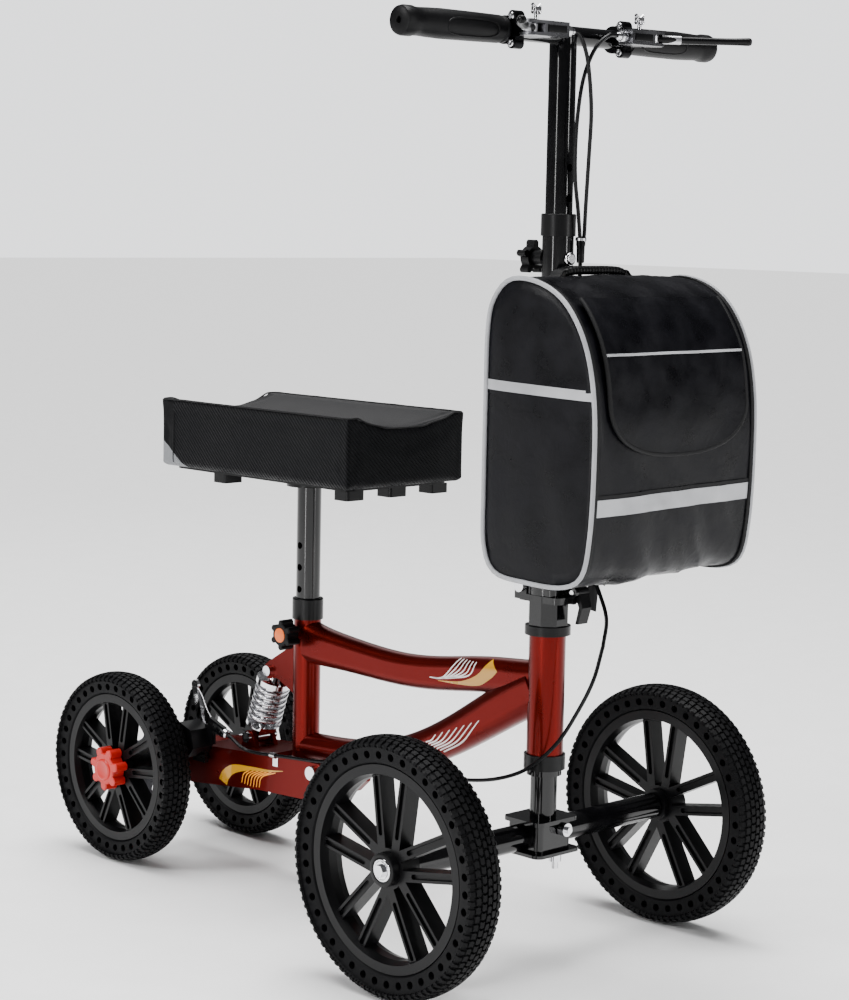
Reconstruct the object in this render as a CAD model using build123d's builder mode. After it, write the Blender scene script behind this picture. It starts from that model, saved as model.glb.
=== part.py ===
"""Four-wheeled knee scooter: folding stem, disc brake, sprung rear arm, basket bag.

Millimetres, +Z up, the ground is z = 0. The rider faces -Y and the rider's
right hand is on the -X side. The origin is on the ground, under the middle
of the scooter's length and width.
"""
from build123d import *
from math import atan2, cos, degrees, pi, radians, sin, tan
import os

# ---------------------------------------------------------------- clearances
RUN = 0.05             # radial gap of a shaft that turns or slides in a bore
GAP = 0.4              # gap between faces of pieces that move past each other
SEAT_GAP = 0.1         # gap between fixed curved pieces that sit together

# ---------------------------------------------------------------- overall
WHEELBASE = 674.0
REAR_AXLE_Y = 375.0
FRONT_AXLE_Y = REAR_AXLE_Y - WHEELBASE
STEER_Y = FRONT_AXLE_Y - 9.5      # the steering axis passes ahead of the axle
FRONT_TRACK = 471.0
REAR_TRACK = 227.0
BAR_Z = 1100.0                    # handlebar axis above the ground
SADDLE_Z = 551.0                  # underside of the saddle cushion

# ---------------------------------------------------------------- wheels
FRONT_TYRE_R = 152.4
FRONT_TYRE_W = 50.0
FRONT_BEAD_R = 120.5
FRONT_HOLES = 42
FRONT_HUB_HALF = 20.0
REAR_TYRE_R = 130.0
REAR_TYRE_W = 46.0
REAR_BEAD_R = 100.5
REAR_HOLES = 38
REAR_HUB_HALF = 12.0
TYRE_HOLE_R = 4.6
RIM_DEPTH = 13.0                  # radial depth of the rim's outer ring
HUB_R = 20.0
SPOKE_GROUPS = 5
SPOKE_W = 12.5
SPOKE_DEPTH = 22.0
SPOKE_FOOT = 10.0                 # half the distance between a pair's feet
SPOKE_HEAD = 23.5                 # half the distance between a pair's heads
SPOKE_GROOVE = (6.0, 4.0)         # width and depth of the channel in each face
BEARING_R = 14.0
BEARING_W = 8.0
AXLE_R = 6.0

# ---------------------------------------------------------------- steering
STEERER_R = 16.0
HEAD_R = 22.0
HEAD_BORE_R = 19.5
HEAD_LOW = 253.0
HEAD_TOP = 398.0
CUP_LOW_H = 18.0
CUP_LOW_R = 25.0
CUP_TOP_H = 11.0
CUP_TOP_R = 27.5
FRONT_AXLE_R = 16.0
CLAMP_TOP = 176.0
CLAMP_BASE = 137.0

# ---------------------------------------------------------------- folding stem
HINGE_Y = STEER_Y + 25.5          # fold pin, behind the stem
HINGE_Z = 455.0
HINGE_PIN_R = 4.0
HINGE_BLOCK_R = 25.0
HINGE_SPLIT = 446.0               # top of the lower block
LATCH_Y = STEER_Y - 38.0
LATCH_Z = 452.0
STEM_R = 18.5
STEM_LOW = 470.0
STEM_TOP = 872.0
STEM_UPPER_R = 16.0
STEM_UPPER_LOW = 715.0
STEM_WALL = 2.0
STEM_HOLE_PITCH = 35.0
STEM_LOCK_Z = 843.0
COLLAR_R = 20.5
COLLAR_H = 26.0
COLLAR_LAP = 3.0                  # how far the collar reaches down over the tube

# ---------------------------------------------------------------- handlebar
BAR_R = 11.1
BAR_HALF = 255.0
GRIP_R = 17.0
GRIP_IN = 101.0
GRIP_OUT = 263.0
PERCH_X = 92.0
PERCH_W = 14.0
LEVER_X = 104.0
LEVER_AHEAD = 46.0
LEVER_LENGTH = 118.0
LEVER_OPEN = 33.0                 # degrees between an open lever and the bar
LEVER_T = 9.4
LOCK_PIN_R = 2.5

# ---------------------------------------------------------------- seat
SEAT_Y = 122.6
POST_R = 15.9
POST_WALL = 2.0
POST_LOW = 262.0
SEAT_TUBE_R = 18.0
SEAT_TUBE_LOW = 172.0
SEAT_TUBE_TOP = 358.0
SEAT_COLLAR_R = 20.5
SEAT_COLLAR_H = 28.0
SEAT_LOCK_Z = 340.0
SEAT_HOLE_PITCH = 29.0
LOCK_BOSS_X = -28.0
LOCK_BOSS_R = 9.0
SADDLE_W = 201.0
SADDLE_FRONT = SEAT_Y - 182.6
SADDLE_REAR = SEAT_Y + 184.4
SADDLE_H = 89.0
SADDLE_DIP = 15.0
PLATE_T = 3.0

# ---------------------------------------------------------------- swingarm
PIVOT_Y = 56.0
PIVOT_Z = 168.0
PIVOT_R = 5.0
ARM_HALF = 45.0                   # half width over the two side plates
ARM_WALL = 12.0
SHOCK_TOP = (183.0, 280.0)        # (y, z) of the shock's upper eye
SHOCK_LOW = (217.0, 184.0)
SHOCK_BOLT_R = 4.0
OPEN_PIVOT_R = 4.7                # lower eye's bore, with room for the linkage
COIL_R = 20.5
COIL_WIRE = 3.0
COIL_TURNS = 5.5
DISC_R = 85.0
DISC_X = -67.0
DISC_T = 2.2
CALIPER = (282.0, 178.0)          # (y, z) of the caliper's piston axis
KNOB_R = 30.0

# ---------------------------------------------------------------- bag and cable
BAG_HALF = 144.0
BAG_DEPTH = 168.8
BAG_BACK = STEER_Y - STEM_R - 5.0
BAG_FRONT = BAG_BACK - BAG_DEPTH
FLAP_T = 3.0
CABLE_R = 2.4
CLIP_GAP = 0.5         # room for the cable in its clips
CABLE_END_GAP = 0.9    # between a cable and what it runs up to on another body

pieces = {}


def keep(name, part):
    """Label a finished sub-part and hold it for writing."""
    part.label = name
    pieces[name] = part


def facing_x(x, y, z):
    """Sketch plane across the X axis: its own x runs along +Y, its own y up."""
    return Plane(origin=(x, y, z), x_dir=(0, 1, 0), z_dir=(1, 0, 0))


def along_x(x, y, z):
    """Sketch plane that holds the X axis: its own x runs along +X, its own y up."""
    return Plane(origin=(x, y, z), x_dir=(1, 0, 0), z_dir=(0, -1, 0))


def rod(start, end, radius, bore=0.0):
    """A straight round rod from start to end, or a tube where bore is given."""
    run = Vector(*end) - Vector(*start)
    with BuildPart() as piece:
        with BuildSketch(Plane(origin=start, z_dir=run)):
            Circle(radius)
            if bore > 0:
                Circle(bore, mode=Mode.SUBTRACT)
        extrude(amount=run.length)
    return piece.part


def block(centre, size, radius=0.0):
    """A box on its centre, with its upright edges rounded."""
    x, y, z = centre
    with BuildPart() as piece:
        with BuildSketch(Plane.XY.offset(z - size[2] / 2)):
            with Locations((x, y)):
                if radius > 0:
                    RectangleRounded(size[0], size[1], radius)
                else:
                    Rectangle(size[0], size[1])
        extrude(amount=size[2])
    return piece.part


def side_plate(points, x, thickness):
    """A plate across X with the given (y, z) outline, thickening towards +X."""
    with BuildPart() as piece:
        with BuildSketch(facing_x(x, 0, 0)):
            with BuildLine():
                Polyline(*points, close=True)
            make_face()
        extrude(amount=thickness)
    return piece.part


def star_knob(base, direction, radius, valley, height, lobes, bore=0.0, bore_depth=0.0):
    """A hand knob with rounded lobes that stands on base along direction."""
    with BuildPart() as piece:
        with BuildSketch(Plane(origin=base, z_dir=direction)):
            Circle(valley)
            with PolarLocations(0, lobes):
                with Locations((radius - valley * 0.28, 0)):
                    Circle(valley * 0.28)
                with Locations(((radius - valley * 0.28) / 2, 0)):
                    Rectangle(radius - valley * 0.28, valley * 0.56)
        extrude(amount=height)
        chamfer(piece.faces().sort_by(Axis(base, direction))[-1].edges(), 1.2)
        if bore > 0:
            with BuildSketch(Plane(origin=base, z_dir=direction)):
                Circle(bore)
            extrude(amount=bore_depth, mode=Mode.SUBTRACT)
    return piece.part


# ================================================================ wheels
def tyre_profile(radius, width, bead):
    """Half outline points of a solid tyre, (axial, radial), from bead to crown."""
    half = width / 2
    wall = radius - bead
    return [
        (half - 8.0, bead),
        (half - 5.5, bead + 0.32 * wall),
        (half - 3.5, bead + 0.56 * wall),
        (half, bead + 0.68 * wall),
        (half - 1.5, bead + 0.84 * wall),
    ]


def make_tyre(name, x, y, radius, width, bead, holes):
    """A solid rubber tyre with a ring of holes through its side walls."""
    right = tyre_profile(radius, width, bead)
    left = [(-u, v) for u, v in reversed(right)]
    ring = bead + 0.36 * (radius - bead)
    with BuildPart() as tyre:
        with BuildSketch(along_x(x, y, radius)):
            with BuildLine():
                Polyline(*left[:1], *left[1:])
                Line(left[-1], right[0])
                Polyline(*right)
                ThreePointArc(right[-1], (0, radius), left[0])
            make_face()
        revolve(axis=Axis((x, y, radius), (1, 0, 0)))
        with BuildSketch(facing_x(x - width, y, radius)):
            with PolarLocations(ring, holes):
                Circle(TYRE_HOLE_R)
        extrude(amount=2 * width, mode=Mode.SUBTRACT)
    keep(name, tyre.part)


def make_rim(name, x, y, axle_z, width, bead, hub_half, boss_side, boss_end):
    """A moulded rim: ring, five pairs of ribbed spokes and the bearing hub."""
    lip = width / 2 - 8.0
    outer = bead - SEAT_GAP
    inner = outer - RIM_DEPTH
    spoke_top = inner + 2.0
    turns = [90 + 360 / SPOKE_GROUPS * k for k in range(SPOKE_GROUPS)]
    with BuildPart() as rim:
        with BuildSketch(along_x(x, y, axle_z)):
            with BuildLine():
                Polyline((-lip, outer), (lip, outer), (lip, inner + 2.0), (6, inner - 1.5),
                         (-6, inner - 1.5), (-lip, inner + 2.0), close=True)
            make_face()
        revolve(axis=Axis((x, y, axle_z), (1, 0, 0)))
        with BuildSketch(facing_x(x - hub_half, y, axle_z)):
            Circle(HUB_R)
        extrude(amount=2 * hub_half)
        with BuildSketch(facing_x(x - SPOKE_DEPTH / 2, y, axle_z)):
            Circle(HUB_R + 4.0)
            for turn in turns:
                for side in (-1, 1):
                    foot = Vector(14.0, side * SPOKE_FOOT).rotate(Axis.Z, turn)
                    head = Vector(spoke_top, side * SPOKE_HEAD).rotate(Axis.Z, turn)
                    run = head - foot
                    middle = (foot + head) / 2
                    with Locations((middle.X, middle.Y)):
                        Rectangle(run.length, SPOKE_W, rotation=degrees(atan2(run.Y, run.X)))
        extrude(amount=SPOKE_DEPTH)
        groove_w, groove_d = SPOKE_GROOVE
        for face_x in (x - SPOKE_DEPTH / 2, x + SPOKE_DEPTH / 2 - groove_d):
            with BuildSketch(facing_x(face_x, y, axle_z)):
                for turn in turns:
                    for side in (-1, 1):
                        foot = Vector(36.0, side * (SPOKE_FOOT + 3.0)).rotate(Axis.Z, turn)
                        head = Vector(spoke_top - 5.0, side * (SPOKE_HEAD - 0.8)).rotate(Axis.Z, turn)
                        run = head - foot
                        middle = (foot + head) / 2
                        with Locations((middle.X, middle.Y)):
                            SlotOverall(run.length, groove_w, rotation=degrees(atan2(run.Y, run.X)))
            extrude(amount=groove_d, mode=Mode.SUBTRACT)
        if boss_side:
            with BuildSketch(facing_x(x, y, axle_z)):
                Circle(HUB_R - 2.0)
            extrude(amount=abs(boss_end - x) * boss_side)
        with BuildSketch(facing_x(x - 90, y, axle_z)):
            Circle(9.0)
        extrude(amount=180, mode=Mode.SUBTRACT)
        for face_x, step in ((x - hub_half, 1), (x + hub_half, -1)):
            with BuildSketch(facing_x(face_x, y, axle_z)):
                Circle(BEARING_R + 0.02)
            extrude(amount=step * BEARING_W, mode=Mode.SUBTRACT)
        if boss_side:
            with BuildSketch(facing_x(x + boss_side * hub_half, y, axle_z)):
                Circle(BEARING_R + 0.02)
            extrude(amount=boss_side * 60, mode=Mode.SUBTRACT)
    keep(name, rim.part)


def make_bearings(name, x, y, axle_z, hub_half):
    """The two ball bearings of one wheel, at the ends of its hub."""
    with BuildPart() as bearings:
        for start in (x - hub_half, x + hub_half - BEARING_W):
            with BuildSketch(facing_x(start, y, axle_z)):
                Circle(BEARING_R)
                Circle(AXLE_R + RUN, mode=Mode.SUBTRACT)
            extrude(amount=BEARING_W)
    keep(name, bearings.part)


for side_name, side in (("right", -1), ("left", 1)):
    front_x = side * FRONT_TRACK / 2
    rear_x = side * REAR_TRACK / 2
    make_tyre(f"front_tyre_{side_name}", front_x, FRONT_AXLE_Y, FRONT_TYRE_R,
              FRONT_TYRE_W, FRONT_BEAD_R, FRONT_HOLES)
    make_rim(f"front_rim_{side_name}", front_x, FRONT_AXLE_Y, FRONT_TYRE_R,
             FRONT_TYRE_W, FRONT_BEAD_R, FRONT_HUB_HALF, 0, 0)
    make_bearings(f"front_bearings_{side_name}", front_x, FRONT_AXLE_Y, FRONT_TYRE_R,
                  FRONT_HUB_HALF)
    make_tyre(f"rear_tyre_{side_name}", rear_x, REAR_AXLE_Y, REAR_TYRE_R,
              REAR_TYRE_W, REAR_BEAD_R, REAR_HOLES)
    boss = 1 if side < 0 else 0
    make_rim(f"rear_rim_{side_name}", rear_x, REAR_AXLE_Y, REAR_TYRE_R,
             REAR_TYRE_W, REAR_BEAD_R, REAR_HUB_HALF, boss, DISC_X - DISC_T)
    make_bearings(f"rear_bearings_{side_name}", rear_x, REAR_AXLE_Y, REAR_TYRE_R,
                  REAR_HUB_HALF)

with BuildPart() as brake_disc:
    with BuildSketch(facing_x(DISC_X - DISC_T, REAR_AXLE_Y, REAR_TYRE_R)):
        Circle(DISC_R)
        Circle(BEARING_R + 0.5, mode=Mode.SUBTRACT)
        with PolarLocations(DISC_R - 14.0, 24):
            Circle(3.2, mode=Mode.SUBTRACT)
        with PolarLocations(42.0, 6):
            SlotOverall(26.0, 20.0, rotation=90, mode=Mode.SUBTRACT)
    extrude(amount=DISC_T)
keep("brake_disc", brake_disc.part)

# ================================================================ rear axle and hub knobs
rear_end_x = REAR_TRACK / 2 + REAR_HUB_HALF
axle_rod = rod((-rear_end_x - 12, REAR_AXLE_Y, REAR_TYRE_R),
               (rear_end_x + 12, REAR_AXLE_Y, REAR_TYRE_R), AXLE_R)
left_spacer = rod((ARM_HALF + 2, REAR_AXLE_Y, REAR_TYRE_R),
                  (REAR_TRACK / 2 - REAR_HUB_HALF - GAP, REAR_AXLE_Y, REAR_TYRE_R), 10.0)
right_spacer = rod((-ARM_HALF - 2, REAR_AXLE_Y, REAR_TYRE_R),
                   (DISC_X + GAP, REAR_AXLE_Y, REAR_TYRE_R), 10.0)
with BuildPart() as rear_axle:
    add(axle_rod)
    add(left_spacer)
    add(right_spacer)
keep("rear_axle", rear_axle.part)

for side_name, side in (("right", -1), ("left", 1)):
    base = (side * (rear_end_x + GAP), REAR_AXLE_Y, REAR_TYRE_R)
    knob = star_knob(base, (side, 0, 0), KNOB_R, 21.5, 19.0, 7, AXLE_R + RUN, 14.0)
    keep(f"rear_knob_{side_name}", knob)

# ================================================================ swingarm
AXLE_BOSS_R = 22.0
with BuildPart() as swingarm:
    for x in (-ARM_HALF, ARM_HALF - ARM_WALL):
        with BuildSketch(facing_x(x, 0, 0)):
            with BuildLine():
                Polyline((PIVOT_Y - 18, PIVOT_Z + 4), (PIVOT_Y - 10, PIVOT_Z + 13),
                         (PIVOT_Y + 38, PIVOT_Z + 11), (PIVOT_Y + 234, PIVOT_Z - 3),
                         (REAR_AXLE_Y, REAR_TYRE_R + AXLE_BOSS_R),
                         (REAR_AXLE_Y, REAR_TYRE_R - AXLE_BOSS_R),
                         (PIVOT_Y + 249, PIVOT_Z - 58), (PIVOT_Y + 108, PIVOT_Z - 43),
                         (PIVOT_Y + 6, PIVOT_Z - 38), (PIVOT_Y - 12, PIVOT_Z - 22), close=True)
            make_face()
            with Locations((REAR_AXLE_Y, REAR_TYRE_R)):
                Circle(AXLE_BOSS_R)
        extrude(amount=ARM_WALL)
    with BuildSketch(facing_x(-ARM_HALF + ARM_WALL, 0, 0)):
        with BuildLine():
            Polyline((SEAT_Y + 27, PIVOT_Z + 7.2), (PIVOT_Y + 234, PIVOT_Z - 3),
                     (PIVOT_Y + 240, PIVOT_Z - 7), (SEAT_Y + 27, PIVOT_Z + 1.2), close=True)
        make_face()
        with BuildLine():
            Polyline((SEAT_Y + 27, PIVOT_Z - 44), (PIVOT_Y + 249, PIVOT_Z - 57),
                     (PIVOT_Y + 249, PIVOT_Z - 51), (SEAT_Y + 27, PIVOT_Z - 38), close=True)
        make_face()
    extrude(amount=2 * (ARM_HALF - ARM_WALL))
    with BuildSketch(facing_x(-ARM_HALF - 2, REAR_AXLE_Y, REAR_TYRE_R)):
        Circle(16.0)
    extrude(amount=4)
    with BuildSketch(facing_x(ARM_HALF - 2, REAR_AXLE_Y, REAR_TYRE_R)):
        Circle(16.0)
    extrude(amount=4)
    for x in (-19.0, 13.0):
        with BuildSketch(facing_x(x, 0, 0)):
            with BuildLine():
                Polyline((SHOCK_LOW[0] - 19, SHOCK_LOW[1] - 19), (SHOCK_LOW[0] - 8, SHOCK_LOW[1] + 5),
                         (SHOCK_LOW[0] + 8, SHOCK_LOW[1] + 5), (SHOCK_LOW[0] + 19, SHOCK_LOW[1] - 21),
                         close=True)
            make_face()
            with Locations(SHOCK_LOW):
                Circle(9.5)
        extrude(amount=6)
    with BuildSketch(facing_x(-30, SHOCK_LOW[0], SHOCK_LOW[1])):
        Circle(SHOCK_BOLT_R)
    extrude(amount=60, mode=Mode.SUBTRACT)
    with BuildSketch(facing_x(-60, PIVOT_Y, PIVOT_Z)):
        Circle(PIVOT_R + RUN)
    extrude(amount=120, mode=Mode.SUBTRACT)
    with BuildSketch(facing_x(-60, REAR_AXLE_Y, REAR_TYRE_R)):
        Circle(AXLE_R)
    extrude(amount=120, mode=Mode.SUBTRACT)
keep("swingarm", swingarm.part)

CLIP_Y = 131.0
CLIP_Z = 178.6
shock_bolt = rod((-24, *SHOCK_LOW), (24, *SHOCK_LOW), SHOCK_BOLT_R)
shock_heads = [rod((s * 19.2, *SHOCK_LOW), (s * 25, *SHOCK_LOW), 7.5) for s in (-1, 1)]
with BuildPart() as swingarm_bolts:
    add(shock_bolt)
    for head in shock_heads:
        add(head)
    with BuildSketch(Plane(origin=(-ARM_HALF - 4.2, CLIP_Y - 5, CLIP_Z), z_dir=(0, 1, 0))):
        Circle(CABLE_R + 1.6)
        Circle(CABLE_R + CLIP_GAP, mode=Mode.SUBTRACT)
    extrude(amount=10)
    with BuildSketch(facing_x(-ARM_HALF - 1.2, CLIP_Y, CLIP_Z - 9)):
        Rectangle(10, 13)
    extrude(amount=1.0)
keep("swingarm_bolts", swingarm_bolts.part)

# ================================================================ brake caliper
cal_y, cal_z = CALIPER
CAL_IN = -50.0                    # inboard and outboard faces of the caliper
CAL_OUT = -84.0
with BuildPart() as brake_caliper:
    with BuildSketch(facing_x(CAL_OUT, 0, 0)):
        with BuildLine():
            Polyline((cal_y - 26, cal_z - 8), (cal_y - 20, cal_z + 16), (cal_y + 4, cal_z + 24),
                     (cal_y + 24, cal_z + 14), (cal_y + 30, cal_z - 10), (cal_y + 8, cal_z - 24),
                     (cal_y - 14, cal_z - 22), close=True)
        make_face()
    extrude(amount=CAL_IN - CAL_OUT)
    with BuildSketch(facing_x(DISC_X - DISC_T - 1.2, REAR_AXLE_Y, REAR_TYRE_R)):
        Circle(DISC_R + 1.5)
    extrude(amount=DISC_T + 2.4, mode=Mode.SUBTRACT)
    with BuildSketch(facing_x(CAL_IN, cal_y, cal_z)):
        Circle(13.0)
    extrude(amount=1.6)
    with BuildSketch(facing_x(CAL_IN - 6, 0, 0)):
        with Locations((cal_y - 4, cal_z - 24)):
            Rectangle(26, 18)
        with Locations((cal_y - 38, cal_z + 20)):
            Rectangle(32, 14, rotation=18)
        with Locations((cal_y - 24, cal_z + 8)):
            Rectangle(16, 26)
    extrude(amount=6)
    with BuildSketch(facing_x(CAL_IN, cal_y - 4, cal_z - 27)):
        Circle(5.0)
    extrude(amount=-CAL_IN - ARM_HALF - 0.1)
keep("brake_caliper", brake_caliper.part)

ARM_FACE = CAL_IN + 1.6 + GAP
with BuildPart() as caliper_arm:
    with BuildSketch(facing_x(ARM_FACE, 0, 0)):
        with Locations((cal_y, cal_z)):
            Circle(9.0)
        with BuildLine():
            Polyline((cal_y - 6, cal_z + 4), (cal_y + 4, cal_z + 40), (cal_y + 14, cal_z + 70),
                     (cal_y + 22, cal_z + 68), (cal_y + 15, cal_z + 36), (cal_y + 8, cal_z + 2),
                     close=True)
        make_face()
        with Locations((cal_y + 17, cal_z + 69)):
            Circle(6.5)
    extrude(amount=4.5)
keep("caliper_arm", caliper_arm.part)

# ================================================================ shock absorber
shock_run = Vector(0, SHOCK_LOW[0] - SHOCK_TOP[0], SHOCK_LOW[1] - SHOCK_TOP[1])
SHOCK_LEN = shock_run.length
shock_dir = shock_run / SHOCK_LEN
EYE_R = 9.0
EYE_HALF = 9.0
CAP_S = 14.0                      # distances along the shock from its upper eye
CAP_T = 7.0
BODY_END = 58.0
SEAT_S = 80.0
SEAT_T = 5.0


def on_shock(distance):
    """Sketch plane across the shock, at a distance from its upper eye."""
    at = Vector(0, *SHOCK_TOP) + shock_dir * distance
    return Plane(origin=at, x_dir=(1, 0, 0), z_dir=shock_dir)


with BuildPart() as shock_body:
    with BuildSketch(facing_x(-EYE_HALF, *SHOCK_TOP)):
        Circle(EYE_R)
    extrude(amount=2 * EYE_HALF)
    with BuildSketch(on_shock(0)):
        Circle(8.0)
    extrude(amount=CAP_S + 1)
    with BuildSketch(on_shock(CAP_S)):
        Circle(24.0)
    extrude(amount=CAP_T)
    with BuildSketch(on_shock(CAP_S)):
        Circle(12.0)
    extrude(amount=BODY_END - CAP_S)
    with BuildSketch(on_shock(CAP_S + 6)):
        Circle(6.0 + RUN)
    extrude(amount=BODY_END, mode=Mode.SUBTRACT)
    with BuildSketch(facing_x(-EYE_HALF, *SHOCK_TOP)):
        Circle(SHOCK_BOLT_R + RUN)
    extrude(amount=2 * EYE_HALF, mode=Mode.SUBTRACT)
keep("shock_body", shock_body.part)

with BuildPart() as shock_rod:
    with BuildSketch(on_shock(36)):
        Circle(6.0)
    extrude(amount=SEAT_S - 35)
    with BuildSketch(on_shock(SEAT_S)):
        Circle(23.0)
    extrude(amount=SEAT_T)
    with BuildSketch(on_shock(SEAT_S + 2)):
        Rectangle(20.0, 16.0)
    extrude(amount=SHOCK_LEN - SEAT_S - 4)
    with BuildSketch(facing_x(-10, *SHOCK_LOW)):
        Circle(9.5)
    extrude(amount=20)
    with BuildSketch(facing_x(-15, *SHOCK_LOW)):
        Circle(OPEN_PIVOT_R)
    extrude(amount=30, mode=Mode.SUBTRACT)
keep("shock_rod", shock_rod.part)

COIL_START = CAP_S + CAP_T + COIL_WIRE + 0.3
COIL_END = SEAT_S - COIL_WIRE - 0.3
coil_origin = Vector(0, *SHOCK_TOP) + shock_dir * COIL_START
with BuildPart() as shock_spring:
    with BuildLine() as coil_line:
        Helix((COIL_END - COIL_START) / COIL_TURNS, COIL_END - COIL_START, COIL_R,
              center=coil_origin, direction=shock_dir)
    with BuildSketch(Plane(origin=coil_line.line @ 0, z_dir=coil_line.line % 0)):
        Circle(COIL_WIRE)
    sweep()
keep("shock_spring", shock_spring.part)

# ================================================================ frame
with BuildPart() as head_tube:
    with BuildSketch(Plane.XY.offset(HEAD_LOW)):
        with Locations((0, STEER_Y)):
            Circle(HEAD_R)
            Circle(HEAD_BORE_R, mode=Mode.SUBTRACT)
    extrude(amount=HEAD_TOP - HEAD_LOW)
keep("head_tube", head_tube.part)

with BuildPart() as headset_cups:
    for base, height, radius in ((HEAD_LOW - CUP_LOW_H, CUP_LOW_H, CUP_LOW_R),
                                 (HEAD_TOP, CUP_TOP_H, CUP_TOP_R)):
        with BuildSketch(Plane.XY.offset(base)):
            with Locations((0, STEER_Y)):
                Circle(radius)
                Circle(STEERER_R + RUN, mode=Mode.SUBTRACT)
        extrude(amount=height)
keep("headset_cups", headset_cups.part)

UPPER_TUBE = (                    # (share of the way from seat tube to head tube, z, height, width)
    (0.014, 329, 57, 34), (0.145, 323, 48, 30), (0.308, 319, 43, 28), (0.447, 318, 42, 28),
    (0.609, 324, 43, 28), (0.760, 333, 44, 30), (0.981, 342, 46, 34))
LOWER_TUBE = (
    (0.009, 188, 35, 34), (0.238, 193, 38, 35), (0.419, 207, 43, 38), (0.586, 235, 47, 40),
    (0.760, 277, 52, 40), (0.977, 330, 54, 40))


def frame_tube(stations, trims):
    """A flat-oval tube through its stations, cut to fit what it is welded to."""
    middles = [Vector(0, SEAT_Y + (STEER_Y - SEAT_Y) * share, z) for share, z, _, _ in stations]
    with BuildPart() as tube:
        for index, (_, _, height, width) in enumerate(stations):
            heading = middles[min(index + 1, len(middles) - 1)] - middles[max(index - 1, 0)]
            with BuildSketch(Plane(origin=middles[index], x_dir=(1, 0, 0), z_dir=heading)):
                RectangleRounded(width, height, width * 0.46)
        loft()
        for trim in trims:
            add(trim, mode=Mode.SUBTRACT)
    return tube.part


head_core = rod((0, STEER_Y, 150), (0, STEER_Y, 450), HEAD_R)
seat_core = rod((0, SEAT_Y, SEAT_TUBE_LOW - 30), (0, SEAT_Y, 450), SEAT_TUBE_R)
seat_beyond = block((0, SEAT_Y + 50, 280), (90, 100, 300))
head_beyond = block((0, STEER_Y - 50, 300), (90, 100, 300))
lock_boss_core = rod((-40, SEAT_Y, SEAT_LOCK_Z), (0, SEAT_Y, SEAT_LOCK_Z), LOCK_BOSS_R)
upper_tube = frame_tube(UPPER_TUBE, [head_core, seat_core, seat_beyond, head_beyond, lock_boss_core])
keep("upper_frame_tube", upper_tube)

LUG_R = 15.0
LUG_HALF = ARM_HALF - ARM_WALL - GAP
lug_rod = rod((-LUG_HALF, PIVOT_Y, PIVOT_Z), (LUG_HALF, PIVOT_Y, PIVOT_Z), LUG_R)
lower_tube = frame_tube(LOWER_TUBE, [head_core, seat_core, seat_beyond, head_beyond, upper_tube])
with BuildPart() as lower_frame_tube:
    add(lower_tube)
    add(lug_rod)
    with BuildSketch(facing_x(-40, PIVOT_Y, PIVOT_Z)):
        Circle(PIVOT_R + 0.02)
    extrude(amount=80, mode=Mode.SUBTRACT)
keep("lower_frame_tube", lower_frame_tube.part)

with BuildPart() as seat_tube:
    with BuildSketch(Plane.XY.offset(SEAT_TUBE_LOW)):
        with Locations((0, SEAT_Y)):
            Circle(SEAT_TUBE_R)
    extrude(amount=SEAT_TUBE_TOP - SEAT_TUBE_LOW)
    with BuildSketch(facing_x(LOCK_BOSS_X, SEAT_Y, SEAT_LOCK_Z)):
        Circle(LOCK_BOSS_R)
    extrude(amount=-LOCK_BOSS_X - SEAT_TUBE_R + 4)
    for x in (-EYE_HALF - GAP - 4, EYE_HALF + GAP):
        with BuildSketch(facing_x(x, 0, 0)):
            with BuildLine():
                Polyline((SEAT_Y + 10, SHOCK_TOP[1] + 44), (SHOCK_TOP[0] + 4, SHOCK_TOP[1] + 11),
                         (SHOCK_TOP[0] + 4, SHOCK_TOP[1] - 11), (SHOCK_TOP[0] - 16, SHOCK_TOP[1] - 8),
                         (SEAT_Y + 10, SHOCK_TOP[1] - 24), close=True)
            make_face()
            with Locations(SHOCK_TOP):
                Circle(11.0)
        extrude(amount=4)
    with BuildSketch(Plane.XY.offset(SEAT_TUBE_LOW)):
        with Locations((0, SEAT_Y)):
            Circle(POST_R + RUN + 0.03)
    extrude(amount=SEAT_TUBE_TOP - SEAT_TUBE_LOW, mode=Mode.SUBTRACT)
    with BuildSketch(facing_x(LOCK_BOSS_X - 1, SEAT_Y, SEAT_LOCK_Z)):
        Circle(5.0)
    extrude(amount=-LOCK_BOSS_X, mode=Mode.SUBTRACT)
    with BuildSketch(facing_x(-30, *SHOCK_TOP)):
        Circle(SHOCK_BOLT_R)
    extrude(amount=60, mode=Mode.SUBTRACT)
keep("seat_tube", seat_tube.part)

with BuildPart() as seat_collar:
    with BuildSketch(Plane.XY.offset(SEAT_TUBE_TOP)):
        with Locations((0, SEAT_Y)):
            Circle(SEAT_COLLAR_R)
            Circle(POST_R + RUN + 0.03, mode=Mode.SUBTRACT)
    extrude(amount=SEAT_COLLAR_H)
    fillet(seat_collar.faces().sort_by(Axis.Z)[-1].edges().sort_by(SortBy.RADIUS)[-1], 2.0)
keep("seat_collar", seat_collar.part)

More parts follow.
